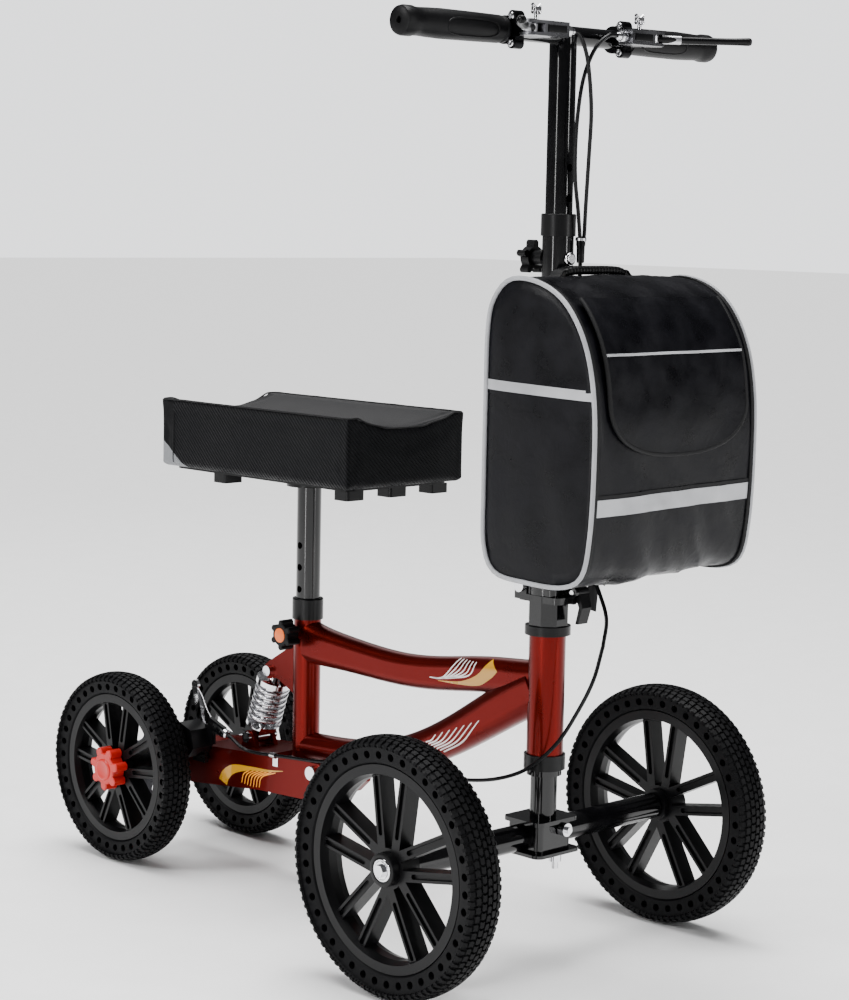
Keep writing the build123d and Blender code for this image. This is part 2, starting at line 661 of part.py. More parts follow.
FRAME_CLIP = (-45.0, -14.0, 192.0)
pivot_bolt = rod((-ARM_HALF - 4, PIVOT_Y, PIVOT_Z), (ARM_HALF + 4, PIVOT_Y, PIVOT_Z), PIVOT_R)
pivot_heads = [rod((s * (ARM_HALF + GAP), PIVOT_Y, PIVOT_Z),
                   (s * (ARM_HALF + 7), PIVOT_Y, PIVOT_Z), 9.0) for s in (-1, 1)]
eye_outer = EYE_HALF + GAP + 4
top_bolt = rod((-eye_outer - 5, *SHOCK_TOP), (eye_outer + 5, *SHOCK_TOP), SHOCK_BOLT_R)
top_heads = [rod((s * (eye_outer + 0.1), *SHOCK_TOP), (s * (eye_outer + 6), *SHOCK_TOP), 7.0)
             for s in (-1, 1)]
clip_x, clip_y, clip_z = FRAME_CLIP
with BuildPart() as frame_bolts:
    add(pivot_bolt)
    add(top_bolt)
    for head in pivot_heads + top_heads:
        add(head)
    with BuildSketch(Plane(origin=(clip_x, clip_y - 5, clip_z), z_dir=(0, 1, 0))):
        Circle(CABLE_R + 1.6)
        Circle(CABLE_R + CLIP_GAP, mode=Mode.SUBTRACT)
    extrude(amount=10)
    with BuildSketch(facing_x(clip_x + 3.4, clip_y, clip_z)):
        Rectangle(9, 6)
    extrude(amount=-clip_x - 3.4 - 19.2)
keep("frame_bolts", frame_bolts.part)

# ================================================================ seat
with BuildPart() as seat_post:
    post_top = SADDLE_Z - PLATE_T
    with BuildSketch(Plane.XY.offset(POST_LOW)):
        with Locations((0, SEAT_Y)):
            Circle(POST_R)
            Circle(POST_R - POST_WALL, mode=Mode.SUBTRACT)
    extrude(amount=post_top - POST_LOW)
    with BuildSketch(facing_x(-30, SEAT_Y, 0)):
        with Locations(*[(0, SEAT_LOCK_Z + SEAT_HOLE_PITCH * k) for k in range(-1, 5)]):
            Circle(4.5)
    extrude(amount=30, mode=Mode.SUBTRACT)
keep("seat_post", seat_post.part)

BLOCK_H = 12.0
saddle_mid = (SADDLE_FRONT + SADDLE_REAR) / 2
block_x = SADDLE_W / 2 - 27.5     # the rubber blocks' places under the plate
block_places = [(-block_x, SADDLE_REAR - 105), (block_x, SADDLE_REAR - 105), (-block_x, SADDLE_FRONT + 26),
                (block_x, SADDLE_FRONT + 26), (0, SADDLE_FRONT + 26)]
plate_blocks = [block((x, y, SADDLE_Z - PLATE_T - BLOCK_H / 2), (30, 26, BLOCK_H), 4)
                for x, y in block_places]
with BuildPart() as saddle_plate:
    with BuildSketch(Plane.XY.offset(SADDLE_Z - PLATE_T)):
        with Locations((0, saddle_mid)):
            RectangleRounded(SADDLE_W - 24, SADDLE_REAR - SADDLE_FRONT - 24, 14)
    extrude(amount=PLATE_T)
    for piece in plate_blocks:
        add(piece)
    with BuildSketch(Plane.XY.offset(SADDLE_Z - PLATE_T - 14)):
        with Locations((0, SEAT_Y)):
            Circle(30)
            Circle(POST_R + SEAT_GAP, mode=Mode.SUBTRACT)
    extrude(amount=14)
keep("saddle_plate", saddle_plate.part)

dip_half = SADDLE_W / 2 - 8.0
dip_radius = (dip_half ** 2 + SADDLE_DIP ** 2) / (2 * SADDLE_DIP)
dip_cutter = rod((0, SADDLE_FRONT - 50, SADDLE_Z + SADDLE_H - SADDLE_DIP + dip_radius),
                 (0, SADDLE_REAR + 50, SADDLE_Z + SADDLE_H - SADDLE_DIP + dip_radius), dip_radius)
with BuildPart() as saddle_cushion:
    with BuildSketch(Plane.XY.offset(SADDLE_Z)):
        with Locations((0, saddle_mid)):
            RectangleRounded(SADDLE_W, SADDLE_REAR - SADDLE_FRONT, 16)
    extrude(amount=SADDLE_H)
    add(dip_cutter, mode=Mode.SUBTRACT)
    fillet(saddle_cushion.faces().sort_by(Axis.Z)[0].edges(), 4.0)
keep("saddle_cushion", saddle_cushion.part)

seat_knob_star = star_knob((LOCK_BOSS_X - GAP, SEAT_Y, SEAT_LOCK_Z), (-1, 0, 0),
                           20.0, 14.5, 20.0, 6)
seat_knob_stud = rod((LOCK_BOSS_X - GAP - 2, SEAT_Y, SEAT_LOCK_Z),
                     (-POST_R - 0.4, SEAT_Y, SEAT_LOCK_Z), 4.6)
with BuildPart() as seat_knob:
    add(seat_knob_star)
    add(seat_knob_stud)
keep("seat_knob", seat_knob.part)

# ================================================================ steering
with BuildPart() as steering_column:
    with BuildSketch(Plane.XY.offset(CLAMP_TOP - 3)):
        with Locations((0, STEER_Y)):
            Circle(STEERER_R)
    extrude(amount=HINGE_SPLIT - 14 - CLAMP_TOP + 3)
    with BuildSketch(Plane.XY.offset(HEAD_LOW - CUP_LOW_H - GAP - 7)):
        with Locations((0, STEER_Y)):
            Circle(21.0)
    extrude(amount=7)
    with BuildSketch(Plane.XY.offset(CLAMP_BASE)):
        with Locations((0, FRONT_AXLE_Y - 4)):
            RectangleRounded(58, 54, 8)
    extrude(amount=CLAMP_TOP - CLAMP_BASE)
    with BuildSketch(Plane.XY.offset(CLAMP_BASE - 4)):
        with Locations((0, FRONT_AXLE_Y - 6)):
            RectangleRounded(76, 66, 10)
    extrude(amount=4)
    with BuildSketch(Plane.XY.offset(CLAMP_TOP - 5)):
        with Locations((0, FRONT_AXLE_Y - 6)):
            RectangleRounded(72, 62, 10)
    extrude(amount=5)
    with BuildSketch(facing_x(-60, FRONT_AXLE_Y, FRONT_TYRE_R)):
        Circle(FRONT_AXLE_R)
    extrude(amount=120, mode=Mode.SUBTRACT)
    with BuildSketch(Plane.XY.offset(CLAMP_TOP)):
        with Locations((0, STEER_Y)):
            Circle(STEERER_R - 3)
    extrude(amount=HINGE_SPLIT - CLAMP_TOP, mode=Mode.SUBTRACT)
keep("steering_column", steering_column.part)

front_axle_half = FRONT_TRACK / 2 - FRONT_HUB_HALF - 1.0
with BuildPart() as front_axle:
    with BuildSketch(facing_x(-front_axle_half, FRONT_AXLE_Y, FRONT_TYRE_R)):
        Circle(FRONT_AXLE_R)
        Circle(FRONT_AXLE_R - 3, mode=Mode.SUBTRACT)
    extrude(amount=2 * front_axle_half)
keep("front_axle", front_axle.part)

front_end_x = FRONT_TRACK / 2 + FRONT_HUB_HALF
with BuildPart() as front_spindles:
    for side in (-1, 1):
        with BuildSketch(facing_x(side * (front_axle_half - 32), FRONT_AXLE_Y, FRONT_TYRE_R)):
            Circle(FRONT_AXLE_R - 3)
        extrude(amount=side * 31.5)
        with BuildSketch(facing_x(side * (front_axle_half - 2), FRONT_AXLE_Y, FRONT_TYRE_R)):
            Circle(AXLE_R)
        extrude(amount=side * (front_end_x + GAP + 2 - front_axle_half + 2))
        with BuildSketch(facing_x(side * (front_end_x + GAP), FRONT_AXLE_Y, FRONT_TYRE_R)):
            Circle(10.0)
        extrude(amount=side * 1.6)
        with BuildSketch(facing_x(side * (front_end_x + GAP), FRONT_AXLE_Y, FRONT_TYRE_R)):
            RegularPolygon(7.5, 6)
        extrude(amount=side * 6.0)
keep("front_spindles", front_spindles.part)

fold_pin = rod((-24, HINGE_Y, HINGE_Z), (24, HINGE_Y, HINGE_Z), HINGE_PIN_R)
fold_heads = [rod((s * 22.2, HINGE_Y, HINGE_Z), (s * 26, HINGE_Y, HINGE_Z), 7.5) for s in (-1, 1)]
latch_pin = rod((-2, LATCH_Y, LATCH_Z), (26, LATCH_Y, LATCH_Z), 3.0)
front_bolt = rod((9, FRONT_AXLE_Y - 31.2, 163), (9, FRONT_AXLE_Y - 46, 163), 4.0)
front_nut = rod((9, FRONT_AXLE_Y - 33, 163), (9, FRONT_AXLE_Y - 42, 163), 8.0)
clamp_bolt = rod((0, FRONT_AXLE_Y - 31, CLAMP_BASE - 4.1), (0, FRONT_AXLE_Y - 31, CLAMP_BASE - 21), 4.0)
clamp_nut = rod((0, FRONT_AXLE_Y - 31, CLAMP_BASE - 4.1), (0, FRONT_AXLE_Y - 31, CLAMP_BASE - 12), 7.5)
with BuildPart() as steering_bolts:
    for piece in [fold_pin, latch_pin, front_bolt, front_nut, clamp_bolt, clamp_nut] + fold_heads:
        add(piece)
keep("steering_bolts", steering_bolts.part)

EAR_IN = 14.0
EAR_OUT = 22.0
with BuildPart() as hinge_base:
    with BuildSketch(Plane.XY.offset(HEAD_TOP + CUP_TOP_H + GAP)):
        with Locations((0, STEER_Y)):
            RegularPolygon(HINGE_BLOCK_R, 8, rotation=22.5)
    extrude(amount=HINGE_SPLIT - HEAD_TOP - CUP_TOP_H - GAP)
    with BuildSketch(Plane.XY.offset(HINGE_SPLIT - 8)):
        with Locations((0, STEER_Y - 1)):
            RectangleRounded(44, 66, 9)
    extrude(amount=8)
    with BuildSketch(Plane.XY.offset(HEAD_TOP + CUP_TOP_H + GAP)):
        with Locations((0, STEER_Y)):
            Circle(STEERER_R + SEAT_GAP)
    extrude(amount=HINGE_SPLIT - 13.9 - HEAD_TOP - CUP_TOP_H - GAP, mode=Mode.SUBTRACT)
    for side in (-1, 1):
        with BuildSketch(facing_x(side * EAR_IN, HINGE_Y, HINGE_Z)):
            Circle(9.5)
            with Locations((0, -8)):
                Rectangle(19, 16)
        extrude(amount=side * (EAR_OUT - EAR_IN))
    with BuildSketch(facing_x(-0.5, 0, 0)):
        with Locations((LATCH_Y, LATCH_Z)):
            Circle(6.5)
        with Locations((LATCH_Y + 3, LATCH_Z - 7)):
            Rectangle(10, 14)
    extrude(amount=5.5)
    with BuildSketch(facing_x(-40, HINGE_Y, HINGE_Z)):
        Circle(HINGE_PIN_R)
    extrude(amount=80, mode=Mode.SUBTRACT)
    with BuildSketch(facing_x(-10, LATCH_Y, LATCH_Z)):
        Circle(3.0)
    extrude(amount=40, mode=Mode.SUBTRACT)
keep("hinge_base", hinge_base.part)

with BuildPart() as latch_lever:
    with BuildSketch(facing_x(5.6, 0, 0)):
        with Locations((LATCH_Y, LATCH_Z)):
            Circle(6.5)
        with BuildLine():
            Polyline((LATCH_Y - 5, LATCH_Z + 3), (LATCH_Y - 11, LATCH_Z - 18),
                     (LATCH_Y - 5, LATCH_Z - 38), (LATCH_Y - 0.5, LATCH_Z - 38),
                     (LATCH_Y - 5.5, LATCH_Z - 18), (LATCH_Y + 1, LATCH_Z - 4), close=True)
        make_face()
    extrude(amount=16.4)
    with BuildSketch(facing_x(0, LATCH_Y, LATCH_Z)):
        Circle(3.0 + RUN)
    extrude(amount=40, mode=Mode.SUBTRACT)
keep("latch_lever", latch_lever.part)

# ================================================================ stem
with BuildPart() as hinge_top:
    with BuildSketch(Plane.XY.offset(HINGE_SPLIT + GAP)):
        with Locations((0, STEER_Y + 1)):
            RectangleRounded(40, 50, 8)
    extrude(amount=8)
    with BuildSketch(Plane.XY.offset(HINGE_SPLIT + GAP)):
        with Locations((0, STEER_Y)):
            Circle(23.0)
    extrude(amount=STEM_LOW + 12 - HINGE_SPLIT - GAP)
    with BuildSketch(Plane.XY.offset(STEM_LOW)):
        with Locations((0, STEER_Y)):
            Circle(STEM_R)
    extrude(amount=20, mode=Mode.SUBTRACT)
    for side in (-1, 1):
        with BuildSketch(facing_x(side * 40, HINGE_Y, HINGE_Z)):
            Circle(10.2)
            with Locations((0, -8)):
                Rectangle(20.4, 16)
        extrude(amount=side * (EAR_IN - GAP - 40), mode=Mode.SUBTRACT)
    with BuildSketch(facing_x(-EAR_IN + GAP, HINGE_Y, HINGE_Z)):
        Circle(8.0)
        with Locations((-8, 2)):
            Rectangle(16, 12)
    extrude(amount=2 * (EAR_IN - GAP))
    with BuildSketch(facing_x(-40, HINGE_Y, HINGE_Z)):
        Circle(HINGE_PIN_R + RUN)
    extrude(amount=80, mode=Mode.SUBTRACT)
keep("hinge_top", hinge_top.part)

LOCK_HOLE_R = 4.6
with BuildPart() as stem_tube:
    with BuildSketch(Plane.XY.offset(STEM_LOW)):
        with Locations((0, STEER_Y)):
            Circle(STEM_R)
            Circle(STEM_UPPER_R + RUN, mode=Mode.SUBTRACT)
    extrude(amount=STEM_TOP - STEM_LOW)
    with BuildSketch(Plane(origin=(0, STEER_Y - 40, STEM_LOCK_Z), z_dir=(0, 1, 0))):
        Circle(LOCK_HOLE_R)
    extrude(amount=80, mode=Mode.SUBTRACT)
keep("stem_tube", stem_tube.part)

with BuildPart() as stem_collar:
    with BuildSketch(Plane.XY.offset(STEM_TOP - COLLAR_LAP)):
        with Locations((0, STEER_Y)):
            Circle(COLLAR_R)
    extrude(amount=COLLAR_H)
    fillet(stem_collar.faces().sort_by(Axis.Z)[-1].edges(), 1.5)
    with BuildSketch(Plane.XY.offset(STEM_TOP - COLLAR_LAP)):
        with Locations((0, STEER_Y)):
            Circle(STEM_R + SEAT_GAP)
    extrude(amount=COLLAR_LAP, mode=Mode.SUBTRACT)
    with BuildSketch(Plane.XY.offset(STEM_TOP - COLLAR_LAP)):
        with Locations((0, STEER_Y)):
            Circle(STEM_UPPER_R + RUN + 0.03)
    extrude(amount=COLLAR_H, mode=Mode.SUBTRACT)
keep("stem_collar", stem_collar.part)

bolt_shank = rod((0, STEER_Y - STEM_UPPER_R - 0.5, STEM_LOCK_Z),
                 (0, STEER_Y - STEM_R - 1, STEM_LOCK_Z), LOCK_HOLE_R - SEAT_GAP)
with BuildPart() as stem_bolt:
    add(bolt_shank)
    with BuildSketch(Plane(origin=(0, STEER_Y - STEM_R - 0.3, STEM_LOCK_Z), z_dir=(0, -1, 0))):
        Circle(8.0)
    extrude(amount=4.2)
    fillet(stem_bolt.faces().sort_by(Axis.Y)[0].edges(), 3.0)
keep("stem_bolt", stem_bolt.part)

KNOB_Y = STEER_Y + STEM_R + 4
stem_star = star_knob((0, KNOB_Y + 12, STEM_LOCK_Z), (0, 1, 0), 21.0, 13.5, 14.0, 5)
stem_stud = rod((0, STEER_Y + STEM_UPPER_R + 0.5, STEM_LOCK_Z), (0, KNOB_Y, STEM_LOCK_Z),
                LOCK_HOLE_R - RUN)
stem_neck = rod((0, KNOB_Y - 3, STEM_LOCK_Z), (0, KNOB_Y + 13, STEM_LOCK_Z), 9.0)
with BuildPart() as stem_knob:
    add(stem_star)
    add(stem_stud)
    add(stem_neck)
keep("stem_knob", stem_knob.part)

# ================================================================ handlebar
bar_core = rod((-BAR_HALF, STEER_Y, BAR_Z), (BAR_HALF, STEER_Y, BAR_Z), BAR_R)
with BuildPart() as stem_upper_tube:
    with BuildSketch(Plane.XY.offset(STEM_UPPER_LOW)):
        with Locations((0, STEER_Y)):
            Circle(STEM_UPPER_R)
            Circle(STEM_UPPER_R - STEM_WALL, mode=Mode.SUBTRACT)
    extrude(amount=BAR_Z - STEM_UPPER_LOW)
    with BuildSketch(Plane.XZ.offset(-STEER_Y)):
        with Locations(*[(0, STEM_LOCK_Z + STEM_HOLE_PITCH * k) for k in range(-2, 4)]):
            Circle(LOCK_HOLE_R)
    extrude(amount=40, mode=Mode.SUBTRACT)
    add(bar_core, mode=Mode.SUBTRACT)
keep("stem_upper_tube", stem_upper_tube.part)

with BuildPart() as handlebar:
    with BuildSketch(facing_x(-BAR_HALF, STEER_Y, BAR_Z)):
        Circle(BAR_R)
        Circle(BAR_R - 2.2, mode=Mode.SUBTRACT)
    extrude(amount=2 * BAR_HALF)
keep("handlebar", handlebar.part)

with BuildPart() as grips:
    for side in (-1, 1):
        with BuildSketch(along_x(0, STEER_Y, BAR_Z)):
            with BuildLine():
                Polyline((side * GRIP_IN, BAR_R + SEAT_GAP), (side * GRIP_IN, GRIP_R - 2.5),
                         (side * (GRIP_IN + 40), GRIP_R - 0.8), (side * (GRIP_OUT - 60), GRIP_R),
                         (side * (GRIP_OUT - 36), GRIP_R - 3), (side * (GRIP_OUT - 24), GRIP_R),
                         (side * (GRIP_OUT - 4), GRIP_R), (side * GRIP_OUT, GRIP_R - 4),
                         (side * GRIP_OUT, 0), (side * (BAR_HALF + 0.5), 0),
                         (side * (BAR_HALF + 0.5), BAR_R + SEAT_GAP), close=True)
            make_face()
        revolve(axis=Axis((0, STEER_Y, BAR_Z), (1, 0, 0)))
keep("grips", grips.part)

LEVER_Y = STEER_Y - LEVER_AHEAD
EXIT_X = 42.0
EXIT_Y = STEER_Y - 49.0
PERCH_HALF = 8.5
SLOT_HALF = LEVER_T / 2 + GAP
PIN_X = 88.0
PIN_Y = STEER_Y - 39.0
PIN_HOLE = 9.0
with BuildPart() as lever_perches:
    for side in (-1, 1):
        with BuildSketch(facing_x(side * PERCH_X - PERCH_W / 2, STEER_Y, BAR_Z)):
            Circle(BAR_R + 5)
            with Locations((-12, 15), (-12, -15)):
                Circle(6.5)
            with Locations((-11, 0)):
                Rectangle(14, 32)
        extrude(amount=PERCH_W)
        with BuildSketch(Plane.XY.offset(BAR_Z - PERCH_HALF)):
            with Locations((side * (PERCH_X - 7), STEER_Y - 24)):
                Rectangle(30, 22)
            with Locations((side * 82, LEVER_Y - 2)):
                Rectangle(56, 22)
            with Locations((side * LEVER_X, LEVER_Y)):
                Circle(12)
        extrude(amount=2 * PERCH_HALF)
        with BuildSketch(facing_x(side * 55, EXIT_Y, BAR_Z)):
            Circle(5.6)
        extrude(amount=-side * (55 - EXIT_X))
        with BuildSketch(Plane.XY.offset(BAR_Z - SLOT_HALF)):
            with Locations((side * (LEVER_X + 8), LEVER_Y)):
                Rectangle(36, 32)
        extrude(amount=2 * SLOT_HALF, mode=Mode.SUBTRACT)
        with BuildSketch(Plane.XY.offset(BAR_Z - PERCH_HALF)):
            with Locations((side * LEVER_X, LEVER_Y)):
                Circle(3.0)
        extrude(amount=2 * PERCH_HALF)
        with BuildSketch(facing_x(side * PERCH_X - 20, STEER_Y, BAR_Z)):
            Circle(BAR_R + SEAT_GAP)
        extrude(amount=40, mode=Mode.SUBTRACT)
        with BuildSketch(Plane.XY.offset(BAR_Z + PERCH_HALF)):
            with Locations((side * PIN_X, PIN_Y)):
                Circle(LOCK_PIN_R + RUN)
        extrude(amount=-PIN_HOLE - 3, mode=Mode.SUBTRACT)
keep("lever_perches", lever_perches.part)

for side_name, side in (("right", -1), ("left", 1)):
    reach = Vector(side * cos(radians(LEVER_OPEN)), -sin(radians(LEVER_OPEN)), 0)
    start = Vector(side * LEVER_X, LEVER_Y, 0)
    blade = Plane(origin=(start.X, start.Y, BAR_Z - LEVER_T / 2), x_dir=reach, z_dir=(0, 0, 1))
    turn = side                       # bends the blade's tip away from the bar
    with BuildPart() as brake_lever:
        with BuildSketch(blade):
            Circle(8.0)
            with BuildLine():
                Polyline((0, 7 * turn), (40, 5 * turn), (LEVER_LENGTH - 27, -1 * turn), (LEVER_LENGTH - 5, -8 * turn),
                         (LEVER_LENGTH - 5, -15 * turn), (LEVER_LENGTH - 32, -8 * turn), (45, -4 * turn),
                         (0, -7 * turn), close=True)
            make_face()
            with Locations((LEVER_LENGTH - 6, -11.5 * turn)):
                Circle(6.0)
            Circle(3.0 + RUN, mode=Mode.SUBTRACT)
        extrude(amount=LEVER_T)
        chamfer(brake_lever.faces().sort_by(Axis.Z)[-1].edges().filter_by(GeomType.LINE), 1.0)
    keep(f"brake_lever_{side_name}", brake_lever.part)
    pin_x = side * PIN_X
    pin_stem = rod((pin_x, PIN_Y, BAR_Z + PERCH_HALF - 5), (pin_x, PIN_Y, BAR_Z + PERCH_HALF + 13),
                   LOCK_PIN_R)
    pin_head = block((pin_x, PIN_Y, BAR_Z + PERCH_HALF + 14), (13, 6, 4), 2)
    with BuildPart() as lock_pin:
        add(pin_stem)
        add(pin_head)
    keep(f"lock_pin_{side_name}", lock_pin.part)

# ================================================================ brake cable
JOINER = (14.8, STEER_Y - 22.5)
JOINER_LOW = 838.0
JOINER_TOP = 868.0
LEFT_CABLE = (
    (EXIT_X - 0.9, EXIT_Y, BAR_Z), (22, EXIT_Y - 1, BAR_Z - 1), (3, EXIT_Y + 3, 1082), (-9, -350, 1050),
    (-12.5, -346, 1012), (-12, -343, 972), (-7, -339.5, 934), (4, -335, 900),
    (11.7, -332, JOINER_TOP + CABLE_END_GAP))
RIGHT_CABLE = (
    (-EXIT_X + 0.9, EXIT_Y, BAR_Z), (-29, EXIT_Y - 2, BAR_Z - 3), (-18, EXIT_Y - 4, 1076),
    (-9, -360, 1044), (-1, -356, 1008), (4, -350, 968), (8, -344.5, 930), (13, -338.5, 898),
    (17.8, -333, JOINER_TOP + CABLE_END_GAP))
FOLD_CABLE = (
    (JOINER[0], JOINER[1], JOINER_LOW), (17, -328.5, 795), (24, -325, 745), (25.5, -321, 690),
    (24.5, -320.5, 635), (25, -322, 580), (28, -327, 530), (31.5, -339, 488), (33, -358, 453),
    (28, -376, 422), (12, -386, 392))
STEER_CABLE = (
    (11.6, -386.3, 391.2), (-3, -386, 354), (-13, -372, 316), (-24, -349, 274), (-35, -314, 240),
    (-41, -269, 220), (-44, -214, 209), (-45.5, -155, 203), (-45.5, -95, 199), (-45, -45, 194.6),
    (FRAME_CLIP[0], FRAME_CLIP[1] - 1, FRAME_CLIP[2] + 0.1))
REAR_CABLE = (
    (FRAME_CLIP[0], FRAME_CLIP[1], FRAME_CLIP[2]), (-45.6, 16, 189.4), (-48, 52, 185),
    (-ARM_HALF - 4.2, 100, 181.2), (-ARM_HALF - 4.2, 165, 175.8), (-52, 190, 178), (-53, 212, 187.6),
    (-53, 228.4, 192.9))


def cable_tube(points):
    """A round cable of straight runs joined by tangent arcs, as large as the runs allow."""
    route = [Vector(*p) for p in points]
    radii = []
    for before, corner, after in zip(route, route[1:], route[2:]):
        turn = radians((corner - before).get_angle(after - corner))
        shorter = min((corner - before).length, (after - corner).length)
        radii.append(0.45 * shorter / tan(turn / 2))
    with BuildPart() as tube:
        with BuildLine() as path:
            FilletPolyline(*route, radius=radii)
        with BuildSketch(Plane(origin=path.line @ 0, z_dir=path.line % 0)):
            Circle(CABLE_R)
        sweep()
    length = sum(edge.length for edge in path.edges())
    ideal = pi * CABLE_R ** 2 * length
    print("cable", round(length), "mm, least radius", round(min(radii)),
          "mm, volume ratio", round(tube.part.volume / ideal, 4))
    return tube.part


left_cable = cable_tube(LEFT_CABLE)
right_cable = cable_tube(RIGHT_CABLE)
with BuildPart() as upper_cables:
    add(left_cable)
    add(right_cable)
keep("upper_cables", upper_cables.part)
keep("fold_cable", cable_tube(FOLD_CABLE))
keep("steer_cable", cable_tube(STEER_CABLE))
keep("rear_cable", cable_tube(REAR_CABLE))

with BuildPart() as cable_joiner:
    with BuildSketch(Plane.XY.offset(JOINER_LOW)):
        with Locations(JOINER):
            SlotOverall(12.0, 9.0)
    extrude(amount=JOINER_TOP - JOINER_LOW)
keep("cable_joiner", cable_joiner.part)

# ================================================================ bag
BAG_OUTLINE = (                   # (distance behind the bag's front, z)
    (144.8, 812), (166.8, 770), (BAG_DEPTH, 690), (BAG_DEPTH, 560), (152.8, 492), (83.8, 482),
    (27.8, 490), (7.8, 520), (1.8, 600), (3.8, 690), (20.8, 755), (45.8, 796), (83.8, 819), (125.8, 823))
BAG_POCKET = ((10.8, 515), (3, 530), (0, 590), (0, 640), (4, 690), (20.8, 745))
with BuildPart() as bag:
    with BuildSketch(facing_x(-BAG_HALF, 0, 0)):
        with BuildLine():
            Polyline(*[(BAG_FRONT + y, z) for y, z in BAG_OUTLINE], close=True)
        make_face()
    extrude(amount=2 * BAG_HALF)
    with BuildSketch(facing_x(-BAG_HALF + 24, 0, 0)):
        with BuildLine():
            Polyline(*[(BAG_FRONT + y, z) for y, z in BAG_POCKET], close=True)
        make_face()
    extrude(amount=2 * (BAG_HALF - 24))
    chamfer(bag.edges().filter_by(Axis.Z).group_by(Axis.Y)[-1], 3)
keep("bag", bag.part)

FLAP_LIFT = 1.2        # the closed flap's gap to the bag's front
FLAP_HALF = 116.0
FLAP_INNER = ((BAG_FRONT + 44.8, 796), (BAG_FRONT + 20.8, 756), (BAG_FRONT + 3.8, 691), (BAG_FRONT, 640))
FLAP_OUTLINE = ([(y - FLAP_LIFT, z + 1) for y, z in FLAP_INNER]
                + [(y - FLAP_LIFT - FLAP_T, z + 1) for y, z in reversed(FLAP_INNER)])
keep("bag_flap", side_plate(FLAP_OUTLINE, -FLAP_HALF, 2 * FLAP_HALF))

# ================================================================ write
os.makedirs("parts", exist_ok=True)
for name, part in pieces.items():
    export_step(part, f"parts/{name}.step")
print(len(pieces), "nodes written")
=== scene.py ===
"""Looks of the four-wheeled knee scooter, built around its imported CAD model.

Metres, +Z up, in the CAD model's own frame: the rider faces -Y and the
rider's right hand is on the -X side.
"""

import math

import bmesh
import bpy
from mathutils import Matrix, Vector, noise
from mathutils.bvhtree import BVHTree


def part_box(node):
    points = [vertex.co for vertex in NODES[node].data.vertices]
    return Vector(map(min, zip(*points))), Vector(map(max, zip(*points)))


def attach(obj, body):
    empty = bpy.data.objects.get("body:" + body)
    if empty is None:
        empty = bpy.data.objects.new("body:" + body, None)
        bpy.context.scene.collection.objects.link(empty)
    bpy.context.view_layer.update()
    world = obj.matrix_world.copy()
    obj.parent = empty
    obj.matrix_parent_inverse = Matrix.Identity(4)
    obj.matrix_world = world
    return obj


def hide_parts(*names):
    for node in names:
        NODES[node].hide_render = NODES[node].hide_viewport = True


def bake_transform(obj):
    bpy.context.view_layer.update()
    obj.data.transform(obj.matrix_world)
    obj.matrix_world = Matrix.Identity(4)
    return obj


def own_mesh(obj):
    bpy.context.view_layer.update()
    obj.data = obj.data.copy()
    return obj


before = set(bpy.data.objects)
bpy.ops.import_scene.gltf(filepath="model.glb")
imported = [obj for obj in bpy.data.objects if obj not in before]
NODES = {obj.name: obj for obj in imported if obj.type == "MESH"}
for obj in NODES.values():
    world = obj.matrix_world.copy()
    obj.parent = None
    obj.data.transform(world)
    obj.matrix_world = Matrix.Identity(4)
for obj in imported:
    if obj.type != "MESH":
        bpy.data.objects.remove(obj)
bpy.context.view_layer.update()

RIGHT, LEFT = -1, 1
SIDES = (("right", RIGHT), ("left", LEFT))
UP = Vector((0, 0, 1))
AHEAD = Vector((0, -1, 0))


def middle_of(node):
    """The middle of a CAD node's box."""
    low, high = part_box(node)
    return (low + high) / 2


STEER_Y = middle_of("stem_tube").y
BAR_Z = middle_of("handlebar").z
SEAT_Y = middle_of("seat_post").y


# ================================================================ materials
def add_node(tree, kind, inputs=None, **settings):
    """A shader node with its settings, and its inputs as values or links."""
    node = tree.nodes.new(kind)
    for key, value in settings.items():
        setattr(node, key, value)
    for key, value in (inputs or {}).items():
        if isinstance(value, bpy.types.NodeSocket):
            tree.links.new(value, node.inputs[key])
        else:
            node.inputs[key].default_value = value
    return node


